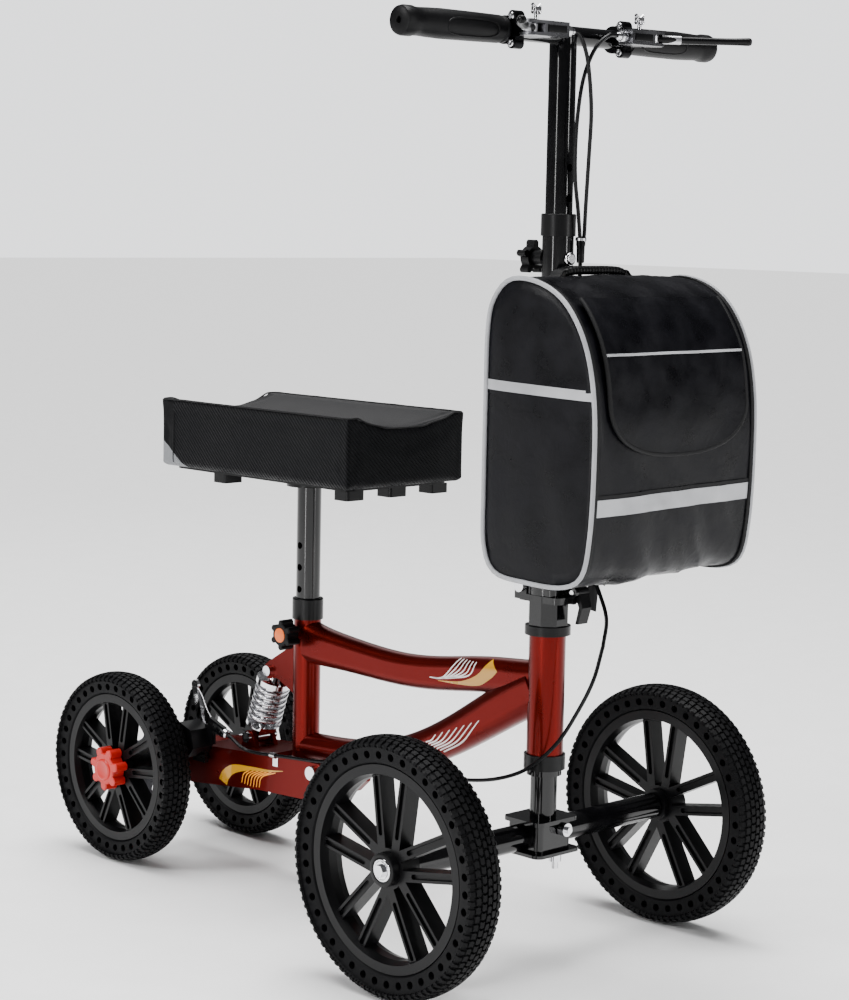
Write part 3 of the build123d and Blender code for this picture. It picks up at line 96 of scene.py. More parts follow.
def material(name, colour, roughness, metallic=0.0, coat=0.0, sheen=0.0, specular=0.5,
             mottle=0.15, mottle_scale=18.0, grain=500.0, bump=0.08, depth=0.0004, spread=0.06):
    """A finish whose colour and roughness drift a little, with a fine grain in its surface."""
    made = bpy.data.materials.new(name)
    made.use_nodes = True
    tree = made.node_tree
    shader = tree.nodes["Principled BSDF"]
    shader.inputs["Metallic"].default_value = metallic
    shader.inputs["Coat Weight"].default_value = coat
    shader.inputs["Coat Roughness"].default_value = 0.04
    shader.inputs["Sheen Weight"].default_value = sheen
    shader.inputs["Specular IOR Level"].default_value = specular
    place = add_node(tree, "ShaderNodeTexCoord").outputs["Object"]
    drift = add_node(tree, "ShaderNodeTexNoise",
                     {"Vector": place, "Scale": mottle_scale, "Detail": 4.0}).outputs["Fac"]
    ramp = add_node(tree, "ShaderNodeValToRGB", {"Fac": drift})
    for stop, place_at, factor in zip(ramp.color_ramp.elements, (0.32, 0.68), (1 - mottle, 1 + mottle)):
        stop.position = place_at
        stop.color = (*[min(c * factor, 1.0) for c in colour], 1)
    tree.links.new(ramp.outputs["Color"], shader.inputs["Base Color"])
    rough = add_node(tree, "ShaderNodeMapRange",
                     {"Value": drift, "From Min": 0.3, "From Max": 0.7,
                      "To Min": max(roughness - spread, 0.02), "To Max": roughness + spread})
    tree.links.new(rough.outputs["Result"], shader.inputs["Roughness"])
    fine = add_node(tree, "ShaderNodeTexNoise",
                    {"Vector": place, "Scale": grain, "Detail": 3.0}).outputs["Fac"]
    relief = add_node(tree, "ShaderNodeBump", {"Height": fine, "Strength": bump, "Distance": depth})
    tree.links.new(relief.outputs["Normal"], shader.inputs["Normal"])
    made["relief"] = relief.name
    return made


def height_of(tree, made):
    """The socket that a finish's surface relief reads."""
    return tree.nodes[made["relief"]].inputs["Height"]


def bands(tree, scale, direction, flip=(1, 1, 1)):
    """Parallel ribs through the object, as a 0 to 1 wave."""
    place = add_node(tree, "ShaderNodeTexCoord").outputs["Object"]
    turned = add_node(tree, "ShaderNodeMapping", {"Vector": place, "Scale": flip}).outputs["Vector"]
    wave = add_node(tree, "ShaderNodeTexWave", {"Vector": turned, "Scale": scale, "Distortion": 0.0},
                    wave_type="BANDS", bands_direction=direction)
    return wave.outputs["Fac"]


def compute(tree, operation, first, second=0.0):
    """One sum in a shader."""
    return add_node(tree, "ShaderNodeMath", {0: first, 1: second}, operation=operation).outputs[0]


def split(tree, output):
    """The x, y and z of one texture coordinate."""
    place = add_node(tree, "ShaderNodeTexCoord").outputs[output]
    return add_node(tree, "ShaderNodeSeparateXYZ", {0: place}).outputs


def paint_over(made, mask, colour, roughness=None):
    """Where mask is 1, the finish has this colour and roughness instead."""
    tree = made.node_tree
    shader = tree.nodes["Principled BSDF"]
    under = shader.inputs["Base Color"].links[0].from_socket
    mix = add_node(tree, "ShaderNodeMix", {0: mask, 6: under, 7: (*colour, 1)}, data_type="RGBA")
    tree.links.new(mix.outputs[2], shader.inputs["Base Color"])
    if roughness is not None:
        below = shader.inputs["Roughness"].links[0].from_socket
        blend = add_node(tree, "ShaderNodeMix", {0: mask, 2: below, 3: roughness}, data_type="FLOAT")
        tree.links.new(blend.outputs[0], shader.inputs["Roughness"])


frame_red = material("frame_red", (0.115, 0.0036, 0.0018), 0.30, metallic=0.85, coat=0.08, specular=0.2,
                     mottle=0.07,
                     grain=1800, bump=0.03, spread=0.04)
gloss_black = material("gloss_black", (0.0016, 0.0016, 0.002), 0.12, coat=0.15, specular=0.35, bump=0.02,
                       spread=0.04)
satin_black = material("satin_black", (0.002, 0.002, 0.0024), 0.30, specular=0.20, bump=0.05)
black_plastic = material("black_plastic", (0.002, 0.002, 0.0024), 0.38, specular=0.16, grain=900, bump=0.12)
rim_plastic = material("rim_plastic", (0.0026, 0.0026, 0.003), 0.34, specular=0.18, grain=700, bump=0.10,
                       mottle=0.2)
tread_rubber = material("tread_rubber", (0.0028, 0.0028, 0.0033), 0.52, specular=0.10, grain=900, bump=0.22,
                        mottle=0.25)
grip_rubber = material("grip_rubber", (0.002, 0.002, 0.0024), 0.42, specular=0.13, grain=1400, bump=0.18)
cable_jacket = material("cable_jacket", (0.003, 0.003, 0.0035), 0.24, specular=0.16, grain=600, bump=0.03)
red_plastic = material("red_plastic", (0.50, 0.010, 0.006), 0.34, grain=600, bump=0.06, mottle=0.08)
orange_plastic = material("orange_plastic", (0.85, 0.16, 0.02), 0.38, bump=0.05, mottle=0.08)
chrome = material("chrome", (0.80, 0.80, 0.82), 0.10, metallic=1.0, mottle=0.06, bump=0.03, spread=0.05)
steel = material("steel", (0.58, 0.58, 0.60), 0.26, metallic=1.0, mottle=0.10, bump=0.06)
alloy = material("alloy", (0.62, 0.62, 0.64), 0.30, metallic=1.0, mottle=0.12, grain=300, bump=0.12)
dark_steel = material("dark_steel", (0.10, 0.10, 0.11), 0.34, metallic=0.9, bump=0.08)
dark_thread = material("dark_thread", (0.002, 0.002, 0.0025), 0.65, specular=0.25, bump=0.2)
reflective = material("reflective", (0.40, 0.405, 0.42), 0.42, metallic=0.25, grain=1200, bump=0.15)
piping_grey = material("piping_grey", (0.34, 0.345, 0.36), 0.50, grain=900, bump=0.20)
decal_yellow = material("decal_yellow", (0.50, 0.24, 0.002), 0.30, coat=0.6, mottle=0.05, bump=0.02)
decal_orange = material("decal_orange", (0.85, 0.30, 0.02), 0.30, coat=0.6, mottle=0.05, bump=0.02)
decal_white = material("decal_white", (0.82, 0.78, 0.76), 0.32, coat=0.6, mottle=0.05, bump=0.02)

WEAVE_SCALE = 420.0                # 1.5 mm between the nylon's threads
bag_nylon = material("bag_nylon", (0.0022, 0.0022, 0.0034), 0.34, specular=0.14, mottle=0.35,
                     mottle_scale=30,
                     bump=0.35, depth=0.0006, spread=0.12)
tree = bag_nylon.node_tree
warp = bands(tree, WEAVE_SCALE, "Z")
weft = bands(tree, WEAVE_SCALE, "DIAGONAL", (1, 1, 0))
crease = add_node(tree, "ShaderNodeTexNoise",
                  {"Vector": add_node(tree, "ShaderNodeTexCoord").outputs["Object"],
                   "Scale": 55.0, "Detail": 6.0, "Roughness": 0.62, "Distortion": 0.8}).outputs["Fac"]
cloth = compute(tree, "MULTIPLY", compute(tree, "ADD", warp, weft), 0.16)
tree.links.new(compute(tree, "ADD", cloth, compute(tree, "MULTIPLY", crease, 2.2)),
               height_of(tree, bag_nylon))

TWILL_SCALE = 106.0                # ribs 4.2 mm apart, across their length
saddle_fabric = material("saddle_fabric", (0.0045, 0.0047, 0.0056), 0.50, specular=0.07, mottle=0.15,
                         bump=0.9, depth=0.0008)
saddle_low, saddle_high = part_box("saddle_cushion")
tree = saddle_fabric.node_tree
normal = split(tree, "Normal")
place = split(tree, "Object")
twill = bands(tree, TWILL_SCALE, "DIAGONAL", (1, -1, 1))
cross = bands(tree, TWILL_SCALE * 2.0, "DIAGONAL", (1, -1, -1))
top_mask = compute(tree, "GREATER_THAN", normal["Z"], 0.62)
rear_mask = compute(tree, "GREATER_THAN", place["Y"], saddle_high.y - 0.024)
plain = compute(tree, "MAXIMUM", top_mask, rear_mask)
woven = compute(tree, "SUBTRACT", 1.0, plain)
ribs = compute(tree, "ADD", twill, compute(tree, "MULTIPLY", cross, 0.25))
grain = add_node(tree, "ShaderNodeTexNoise",
                 {"Vector": add_node(tree, "ShaderNodeTexCoord").outputs["Object"],
                  "Scale": 900.0, "Detail": 3.0}).outputs["Fac"]
relief = compute(tree, "ADD", compute(tree, "MULTIPLY", ribs, woven), compute(tree, "MULTIPLY", grain, 0.35))
tree.links.new(relief, height_of(tree, saddle_fabric))
paint_over(saddle_fabric, compute(tree, "MULTIPLY", woven, compute(tree, "LESS_THAN", twill, 0.35)),
           (0.0016, 0.0016, 0.002))
paint_over(saddle_fabric, plain, (0.0035, 0.0035, 0.0042), 0.42)
SILVER_RISE, SILVER_RUN = 0.036, 0.050      # the reflective corner's height and length
corner = compute(tree, "SUBTRACT",
                 compute(tree, "DIVIDE", compute(tree, "SUBTRACT", place["Y"], saddle_high.y - SILVER_RUN),
                         SILVER_RUN),
                 compute(tree, "DIVIDE", compute(tree, "SUBTRACT", place["Z"], saddle_low.z), SILVER_RISE))
paint_over(saddle_fabric, compute(tree, "GREATER_THAN", corner, 0.0), (0.20, 0.205, 0.215), 0.5)

perch_alloy = material("perch_alloy", (0.16, 0.16, 0.17), 0.26, metallic=1.0, mottle=0.12, bump=0.10)
tree = perch_alloy.node_tree
place = split(tree, "Object")
paint_over(perch_alloy, compute(tree, "GREATER_THAN", place["Y"], STEER_Y - 0.031),
           (0.010, 0.010, 0.011), 0.3)


# ================================================================ mesh tools
def finished(name, mesh_data, finish, sharp=38.0):
    """An object from a bmesh, smooth shaded with its creases kept sharp."""
    bmesh.ops.remove_doubles(mesh_data, verts=mesh_data.verts, dist=1e-6)
    bmesh.ops.recalc_face_normals(mesh_data, faces=mesh_data.faces)
    mesh = bpy.data.meshes.new(name)
    mesh_data.to_mesh(mesh)
    mesh_data.free()
    mesh.shade_smooth()
    mesh.set_sharp_from_angle(angle=math.radians(sharp))
    made = bpy.data.objects.new(name, mesh)
    bpy.context.scene.collection.objects.link(made)
    mesh.materials.append(finish)
    return made


def add_skin(mesh_data, rings, closed=False, caps=True):
    """Quads between rings that all have the same number of points."""
    loops = [[mesh_data.verts.new(point) for point in ring] for ring in rings]
    pairs = list(zip(loops, loops[1:]))
    if closed:
        pairs.append((loops[-1], loops[0]))
    for one, other in pairs:
        count = len(one)
        for index in range(count):
            following = (index + 1) % count
            mesh_data.faces.new((one[index], one[following], other[following], other[index]))
    if caps and not closed:
        for ring in (loops[0], loops[-1]):
            mesh_data.faces.new(ring)


def skin(name, rings, finish, closed=False, caps=True, sharp=38.0):
    made = bmesh.new()
    add_skin(made, rings, closed, caps)
    return finished(name, made, finish, sharp)


def circle(radius, sides=12):
    return [(radius * math.cos(2 * math.pi * k / sides), radius * math.sin(2 * math.pi * k / sides))
            for k in range(sides)]


def pill(width, thickness, corner=0.35, sides=4):
    """A rectangle with rounded corners; corner is a share of its thickness."""
    radius = thickness * corner
    points = []
    for quarter, (a, b) in enumerate(((1, 1), (-1, 1), (-1, -1), (1, -1))):
        for step in range(sides + 1):
            turn = math.pi / 2 * (quarter + step / sides)
            points.append((a * (width / 2 - radius) + radius * math.cos(turn),
                           b * (thickness / 2 - radius) + radius * math.sin(turn)))
    return points


def smooth_line(points, steps, closed=False):
    """A curve through all the points, with that many samples in each span."""
    points = [Vector(point) for point in points]
    count = len(points)
    spans = count if closed else count - 1
    line = []
    for index in range(spans):
        if closed:
            a, b, c, d = (points[(index + k) % count] for k in (-1, 0, 1, 2))
        else:
            b, c = points[index], points[index + 1]
            a = points[index - 1] if index > 0 else b * 2 - c
            d = points[index + 2] if index + 2 < count else c * 2 - b
        for step in range(steps):
            t = step / steps
            line.append(0.5 * (2 * b + (c - a) * t + (2 * a - 5 * b + 4 * c - d) * t ** 2
                               + (3 * b - a - 3 * c + d) * t ** 3))
    if not closed:
        line.append(points[-1].copy())
    return line


def sweep(name, path, section, finish, closed=False, up=None, scales=None, sharp=38.0):
    """A section carried along a path; up keeps it level, and scales swell it."""
    path = [Vector(point) for point in path]
    count = len(path)
    rings = []
    across = None
    for index, at in enumerate(path):
        before = path[index - 1] if closed or index > 0 else at
        after = path[(index + 1) % count] if closed or index < count - 1 else at
        along = (after - before).normalized()
        if up is not None:
            across = along.cross(up(at) if callable(up) else up).normalized()
        elif across is None:
            across = along.cross(UP if abs(along.z) < 0.9 else Vector((1, 0, 0))).normalized()
        else:
            across = (across - along * across.dot(along)).normalized()
        lift = across.cross(along).normalized()
        scale = scales[index] if scales else 1.0
        rings.append([at + across * a * scale + lift * b * scale for a, b in section])
    return skin(name, rings, finish, closed, sharp=sharp)


def lathe(name, profile, centre, axis, finish, steps=48, sharp=38.0):
    """(along, radius) points turned about an axis through centre."""
    axis = Vector(axis).normalized()
    across = axis.cross(UP if abs(axis.z) < 0.9 else Vector((1, 0, 0))).normalized()
    lift = axis.cross(across)
    centre = Vector(centre)
    rings = []
    for along, radius in profile:
        rings.append([centre + axis * along + (across * math.cos(2 * math.pi * k / steps)
                                               + lift * math.sin(2 * math.pi * k / steps))
                                               * max(radius, 1e-5)
                      for k in range(steps)])
    return skin(name, rings, finish, sharp=sharp)


def surface_of(*objects):
    """One search tree over the objects' faces, in the row frame."""
    points, faces = [], []
    for thing in objects:
        start = len(points)
        points += [vertex.co.copy() for vertex in thing.data.vertices]
        faces += [[start + index for index in polygon.vertices] for polygon in thing.data.polygons]
    return BVHTree.FromPolygons(points, faces)


def lay_on(tree, at, direction, lift):
    """The point where a ray from at meets the surface, lifted off it."""
    hit, facing, _, _ = tree.ray_cast(Vector(at), Vector(direction))
    if hit is None:
        return None
    if facing.dot(Vector(direction)) > 0:
        facing = -facing
    return hit + facing * lift


def wide_line(points, widths, steps=6):
    """Pairs of edge points of a ribbon on a flat view, from its middle line and widths."""
    line = smooth_line([Vector((a, b, 0)) for a, b in points], steps)
    count = len(line)
    pairs = []
    for index, at in enumerate(line):
        before = line[max(index - 1, 0)]
        after = line[min(index + 1, count - 1)]
        along = (after - before).normalized()
        across = Vector((-along.y, along.x, 0))
        place = index / (count - 1) * (len(widths) - 1)
        low = min(int(place), len(widths) - 2)
        width = widths[low] + (widths[low + 1] - widths[low]) * (place - low)
        pairs.append((at + across * width / 2, at - across * width / 2))
    return pairs


def add_ribbon(mesh_data, tree, pairs, cast, lift, across=6):
    """A thin ribbon laid on a surface; cast gives a ray for each flat point."""
    rows = []
    for one, other in pairs:
        row = [lay_on(tree, *cast(one.lerp(other, k / across)), lift) for k in range(across + 1)]
        if None in row:
            continue
        rows.append([mesh_data.verts.new(point) for point in row])
    for row, following in zip(rows, rows[1:]):
        for k in range(across):
            mesh_data.faces.new((row[k], row[k + 1], following[k + 1], following[k]))


def decal(name, tree, ribbons, cast, finish, body, lift=0.0003, across=6):
    """Ribbons of one colour on one surface, as one piece."""
    made = bmesh.new()
    for points, widths in ribbons:
        add_ribbon(made, tree, wide_line(points, widths), cast, lift, across)
    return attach(finished(name, made, finish), body)


def from_side(side):
    """Rays towards the middle of the scooter, from flat (y, z) points."""
    return lambda point: ((side * 0.3, point.x, point.y), (-side, 0, 0))


# ================================================================ CAD nodes' finishes
FINISHES = {
    frame_red: ("head_tube", "upper_frame_tube", "lower_frame_tube", "seat_tube", "swingarm"),
    gloss_black: ("steering_column", "front_axle", "hinge_base", "hinge_top", "stem_tube",
                  "stem_upper_tube", "handlebar", "seat_post"),
    satin_black: ("headset_cups", "seat_collar", "saddle_plate", "stem_collar", "latch_lever",
                  "brake_caliper", "rear_axle"),
    black_plastic: ("seat_knob", "stem_knob", "cable_joiner"),
    rim_plastic: ("front_rim_right", "front_rim_left", "rear_rim_right", "rear_rim_left"),
    red_plastic: ("rear_knob_right", "rear_knob_left"),
    chrome: ("front_spindles", "swingarm_bolts", "frame_bolts", "steering_bolts", "stem_bolt",
             "shock_body", "shock_rod", "lock_pin_right", "lock_pin_left", "caliper_arm"),
    steel: ("front_bearings_right", "front_bearings_left", "rear_bearings_right",
            "rear_bearings_left"),
    dark_steel: ("brake_disc",),
    perch_alloy: ("lever_perches",),
}
for finish, names in FINISHES.items():
    for name in names:
        NODES[name].data.materials.clear()
        NODES[name].data.materials.append(finish)

# ================================================================ tyres
TYRES = {                           # bead radius and number of holes
    "front": (0.1205, 42),
    "rear": (0.1005, 38),
}
HOLE_R = 0.0047
HOLE_AT = 0.36                      # the holes' place, as a share of the wall's height
PATCH = 0.0062                      # half height of the band that holds the holes
TREAD = 0.0030
HOLE_SIDES = 16
BLOCK_PITCH = 0.0104


def tyre_flank(radius, half, bead, wall, ring):
    """Half width of the tyre at a radius, along its side wall."""
    stations = ((bead + 0.0003, half - 0.0105), (bead + 0.0009, half - 0.0086),
                (bead + 0.0024, half - 0.0066), (ring - PATCH, half - 0.0060),
                (ring + PATCH, half - 0.0048), (bead + 0.64 * wall, half - 0.0044),
                (bead + 0.67 * wall, half - 0.0024), (bead + 0.74 * wall, half - 0.0010))
    for (r0, w0), (r1, w1) in zip(stations, stations[1:]):
        if radius <= r1:
            return w0 + (w1 - w0) * (radius - r0) / (r1 - r0)
    return stations[-1][1]


def add_block(mesh_data, outline, crown, depth, taper=0.84):
    """A rubber block on the crown: its foot sits in the tread's base."""
    middle_u = sum(u for u, _ in outline) / len(outline)
    middle_v = sum(v for _, v in outline) / len(outline)
    top = [mesh_data.verts.new(crown(middle_u + (u - middle_u) * taper,
                                     middle_v + (v - middle_v) * taper, 0.0)) for u, v in outline]
    foot = [mesh_data.verts.new(crown(u, v, depth)) for u, v in outline]
    count = len(outline)
    mesh_data.faces.new(top)
    for k in range(count):
        mesh_data.faces.new((foot[k], foot[(k + 1) % count], top[(k + 1) % count], top[k]))


def make_tyre(name, node, body, bead, holes):
    """A solid tyre with a ring of holes through its walls and a tread of small blocks."""
    low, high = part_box(node)
    centre = (low + high) / 2
    radius = (high.z - low.z) / 2
    half = (high.x - low.x) / 2
    wall = radius - bead
    ring = bead + HOLE_AT * wall
    segments = holes * 4
    made = bmesh.new()

    def at(x, r, turn):
        return centre + Vector((x, r * math.sin(turn), r * math.cos(turn)))

    def flank(r):
        return tyre_flank(r, half, bead, wall, ring)

    def loop(x, r):
        return [made.verts.new(at(x, r, 2 * math.pi * k / segments)) for k in range(segments)]

    def bridge(one, other):
        for k in range(segments):
            made.faces.new((one[k], one[(k + 1) % segments], other[(k + 1) % segments], other[k]))

    sag = 0.16 * wall
    bow = ((half - 0.0015) ** 2 + sag ** 2) / (2 * sag)

    def crown_r(v):
        return radius - (bow - math.sqrt(bow ** 2 - v ** 2))

    inner_radii = (bead + 0.0003, bead + 0.0009, bead + 0.0024, ring - PATCH)
    outer_radii = (ring + PATCH, bead + 0.64 * wall, bead + 0.67 * wall, bead + 0.74 * wall)
    edges = {}
    circles = {}
    for side in (RIGHT, LEFT):
        inner = [loop(side * flank(r), r) for r in inner_radii]
        outer = [loop(side * flank(r), r) for r in outer_radii]
        outer.append(loop(side * (half - 0.0026), crown_r(half - 0.0026) - TREAD))
        for group in (inner, outer):
            for one, other in zip(group, group[1:]):
                bridge(one, other)
        rungs = []
        for k in range(holes):
            turn = 2 * math.pi * k / holes
            radii = [ring + PATCH * t for t in (-0.5, 0, 0.5)]
            rungs.append([made.verts.new(at(side * flank(r), r, turn)) for r in radii])
        circles[side] = []
        for k in range(holes):
            low_row = [inner[-1][(4 * k + n) % segments] for n in range(5)]
            top_row = [outer[0][(4 * k + n) % segments] for n in range(5)]
            border = low_row + rungs[(k + 1) % holes] + top_row[::-1] + rungs[k][::-1]
            round_hole = []
            for n in range(HOLE_SIDES):
                turn = math.radians(-135) + 2 * math.pi * n / HOLE_SIDES
                r = ring + HOLE_R * math.sin(turn)
                angle = 2 * math.pi * (k + 0.5) / holes + HOLE_R * math.cos(turn) / ring
                round_hole.append(made.verts.new(at(side * flank(r), r, angle)))
            for n in range(HOLE_SIDES):
                following = (n + 1) % HOLE_SIDES
                made.faces.new((border[n], border[following], round_hole[following], round_hole[n]))
            circles[side].append(round_hole)
        edges[side] = (inner[0], outer[-1])
    bridge(edges[RIGHT][0], edges[LEFT][0])
    for one, other in zip(circles[RIGHT], circles[LEFT]):
        for n in range(HOLE_SIDES):
            following = (n + 1) % HOLE_SIDES
            made.faces.new((one[n], one[following], other[following], other[n]))
    previous = edges[RIGHT][1]
    for share in (-0.8, -0.5, -0.2, 0.2, 0.5, 0.8):
        v = share * half
        current = loop(v, crown_r(v) - TREAD)
        bridge(previous, current)
        previous = current
    bridge(previous, edges[LEFT][1])

    blocks = round(2 * math.pi * radius / BLOCK_PITCH)
    pitch = 2 * math.pi / blocks

    def crown(u, v, depth):
        return at(v, crown_r(v) - depth * (TREAD + 0.0006), u * pitch)

    rows = ((0.0, 0.26, 0.16, 0.0), (-0.31, 0.27, -0.14, 0.5), (0.31, 0.27, -0.14, 0.5),
            (-0.62, 0.26, 0.12, 0.1), (0.62, 0.26, 0.12, 0.1))
    for place, width, skew, phase in rows:
        v0, v1, v2 = ((place - width / 2) * half, place * half, (place + width / 2) * half)
        for k in range(blocks):
            u0, u1 = k + phase, k + phase + 0.84
            add_block(made, ((u0, v0), (u0 + skew, v1), (u0, v2), (u1, v2), (u1 + skew, v1), (u1, v0)),
                      crown, 1.0)
    shoulder_top = crown_r(0.80 * half)
    shoulder_low = bead + 0.70 * wall
    for side in (RIGHT, LEFT):
        for k in range(blocks):
            length = 0.62 if k % 2 else 0.50
            u0, u1 = k + 0.12, k + 0.12 + length
            top = [made.verts.new(at(side * x, r, u * pitch)) for u in (u0 + 0.05, u1 - 0.05)
                   for x, r in ((0.80 * half, shoulder_top), (0.965 * half, shoulder_top - 0.0028),
                                (half, shoulder_top - 0.0070), (half - 0.0004, shoulder_low))]
            foot = [made.verts.new(at(side * x, r, u * pitch)) for u in (u0, u1)
                    for x, r in ((0.80 * half, shoulder_top - TREAD), (0.90 * half, shoulder_top - 0.0060),
                                 (half - 0.0032, shoulder_top - 0.0085), (half - 0.0032, shoulder_low))]
            for n in range(3):
                made.faces.new((top[n], top[n + 1], top[n + 5], top[n + 4]))
                made.faces.new((top[n], top[n + 1], foot[n + 1], foot[n]))
                made.faces.new((top[n + 4], top[n + 5], foot[n + 5], foot[n + 4]))
            for n in (0, 3):
                made.faces.new((top[n], top[n + 4], foot[n + 4], foot[n]))
    tyre = finished(name, made, tread_rubber, sharp=30)
    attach(tyre, body)
    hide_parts(node)
    return tyre


for end, (bead, holes) in TYRES.items():
    for side_name, _ in SIDES:
        make_tyre(f"{end}_tyre_tread_{side_name}", f"{end}_tyre_{side_name}",
                  f"{end}_wheel_{side_name}", bead, holes)

# ================================================================ wheel hubs
for side_name, side in SIDES:
    hub = middle_of(f"front_bearings_{side_name}")
    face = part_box(f"front_bearings_{side_name}")[1 if side > 0 else 0].x
    seal = lathe(f"front_hub_seal_{side_name}",
                 ((-0.0002, 0.0136), (0.0010, 0.0134), (0.0014, 0.0128), (0.0014, 0.0112), (0.0002, 0.0106)),
                 (face, hub.y, hub.z), (side, 0, 0), chrome)
    flange = lathe(f"front_hub_flange_{side_name}",
                   ((0.0, 0.0196), (0.0012, 0.0192), (0.0016, 0.0182), (0.0016, 0.0146), (0.0, 0.0141)),
                   (face, hub.y, hub.z), (side, 0, 0), rim_plastic)
    for piece in (seal, flange):
        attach(piece, f"front_wheel_{side_name}")

for side_name, side in SIDES:
    knob = middle_of(f"rear_knob_{side_name}")
    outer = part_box(f"rear_knob_{side_name}")[1 if side > 0 else 0].x
    cap = lathe(f"rear_knob_cap_{side_name}",
                ((-0.0006, 0.0150), (0.0006, 0.0148), (0.0016, 0.0138), (0.0020, 0.0120), (0.0012, 0.0100),
                 (0.0012, 0.0)), (outer, knob.y, knob.z), (side, 0, 0), red_plastic)
    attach(cap, f"rear_knob_{side_name}")

# ================================================================ saddle
CUSHION_INSET = 0.0004
CUSHION_DIP = 0.015
CUSHION_CORNER = 0.0035
SADDLE_VOXEL = 0.004
SADDLE_PRESSURE = 4.0
SADDLE_SWELL = 0.0012             # the furthest that the cloth may move


def rounded_box(low, high, corner, cells):
    """A box's surface as an even grid, its edges and corners rounded."""
    size = high - low
    made = bmesh.new()
    centre = (low + high) / 2
    half = size / 2
    seen = {}

    def vertex(i, j, k):
        key = (i, j, k)
        if key not in seen:
            flat = Vector([(-1 + 2 * a / n) * h for a, n, h in zip(key, cells, half)])
            core = Vector([max(-h + corner, min(h - corner, f)) for f, h in zip(flat, half)])
            off = flat - core
            point = core + off.normalized() * corner if off.length > 1e-9 else flat
            seen[key] = made.verts.new(centre + point)
        return seen[key]

    def cell(key, one, other):
        far = [a + b + c for a, b, c in zip(key, one, other)]
        made.faces.new([vertex(*key), vertex(*[a + b for a, b in zip(key, one)]), vertex(*far),
                        vertex(*[a + b for a, b in zip(key, other)])])

    a, b, c = cells
    for i in range(a):
        for j in range(b):
            for k in (0, c):
                cell((i, j, k), (1, 0, 0), (0, 1, 0))
    for i in range(a):
        for k in range(c):
            for j in (0, b):
                cell((i, j, k), (1, 0, 0), (0, 0, 1))
    for j in range(b):
        for k in range(c):
            for i in (0, a):
                cell((i, j, k), (0, 1, 0), (0, 0, 1))
    return made


def inflate(piece, voxel, pressure, cap, hold=None):
    """Cloth under pressure, so that a pad swells between its edges; hold pins what rests."""
    remesh = piece.modifiers.new("remesh", "REMESH")
    remesh.mode = "VOXEL"
    remesh.voxel_size = voxel
    bpy.context.view_layer.update()
    evaluated = piece.evaluated_get(bpy.context.evaluated_depsgraph_get())
    mesh = bpy.data.meshes.new_from_object(evaluated)
    piece.modifiers.clear()
    piece.data = mesh
    rest = [vertex.co.copy() for vertex in mesh.vertices]
    pins = [index for index, point in enumerate(rest) if hold and hold(point)]
    cloth = piece.modifiers.new("cloth", "CLOTH")
    if pins:
        group = piece.vertex_groups.new(name="hold")
        group.add(pins, 1.0, "REPLACE")
        cloth.settings.vertex_group_mass = "hold"
    cloth.settings.quality = 5
    cloth.settings.mass = 0.3
    cloth.settings.tension_stiffness = 20
    cloth.settings.compression_stiffness = 20
    cloth.settings.bending_stiffness = 2
    cloth.settings.use_pressure = True
    cloth.settings.uniform_pressure_force = pressure
    cloth.settings.effector_weights.gravity = 0
    scene = bpy.context.scene
    for step in range(1, 21):
        scene.frame_set(step)
    evaluated = piece.evaluated_get(bpy.context.evaluated_depsgraph_get())
    moved = [vertex.co.copy() for vertex in evaluated.data.vertices]
    piece.modifiers.clear()
    scene.frame_set(1)
    for vertex, start, end in zip(mesh.vertices, rest, moved):
        shift = end - start
        if shift.length > cap:
            shift *= cap / shift.length
        vertex.co = start + shift


inset = Vector((CUSHION_INSET,) * 3)
start_low = saddle_low + Vector((CUSHION_INSET, CUSHION_INSET, 0.0008))
start_high = saddle_high - inset
shape = rounded_box(start_low, start_high, CUSHION_CORNER, (34, 60, 14))
half_width = (saddle_high.x - saddle_low.x) / 2 - 0.008
for vertex in shape.verts:
    height = (vertex.co.z - start_low.z) / (start_high.z - start_low.z)
    across = min(abs(vertex.co.x) / half_width, 1.0)
    vertex.co.z -= CUSHION_DIP * (1 - across ** 2) * height ** 3
saddle = finished("saddle_cover", shape, saddle_fabric, sharp=180)
inflate(saddle, SADDLE_VOXEL, SADDLE_PRESSURE, SADDLE_SWELL,
        hold=lambda point: point.z < saddle_low.z + SADDLE_VOXEL)
saddle.data.materials.clear()
saddle.data.materials.append(saddle_fabric)
saddle.data.shade_smooth()
relax = saddle.modifiers.new("relax", "SMOOTH")
relax.factor = 0.5
relax.iterations = 1
bpy.context.view_layer.update()
relaxed = saddle.evaluated_get(bpy.context.evaluated_depsgraph_get())
saddle_mesh = bpy.data.meshes.new_from_object(relaxed)
saddle.modifiers.clear()
saddle.data = saddle_mesh
for axis, (low, high) in enumerate(zip(saddle_low, saddle_high)):
    places = [vertex.co[axis] for vertex in saddle_mesh.vertices]
    start, span = min(places), max(places) - min(places)
    for vertex in saddle_mesh.vertices:
        vertex.co[axis] = low + (vertex.co[axis] - start) * (high - low) / span
EDGE_ZONE, EDGE_SHARE = 0.017, 0.8       # how far from an edge the swelling rounds it, and how much is undone
saddle_middle, saddle_half = (saddle_low + saddle_high) / 2, (saddle_high - saddle_low) / 2
for one, other in ((0, 1), (0, 2), (1, 2)):
    for vertex in saddle_mesh.vertices:
        off = vertex.co - saddle_middle
        near = [max(0.0, 1 - (saddle_half[axis] - abs(off[axis])) / EDGE_ZONE) for axis in (one, other)]
        if min(near) <= 0 or (other == 2 and off.z < 0):
            continue
        grow = 1 + EDGE_SHARE * (math.hypot(*near) / max(near) - 1)
        for axis, share in zip((one, other), near):
            reach = min(share * grow, 1.0)
            off[axis] = math.copysign(saddle_half[axis] - EDGE_ZONE * (1 - reach), off[axis])
        vertex.co = saddle_middle + off
saddle_mesh.shade_smooth()
finer = saddle.modifiers.new("finer", "SUBSURF")
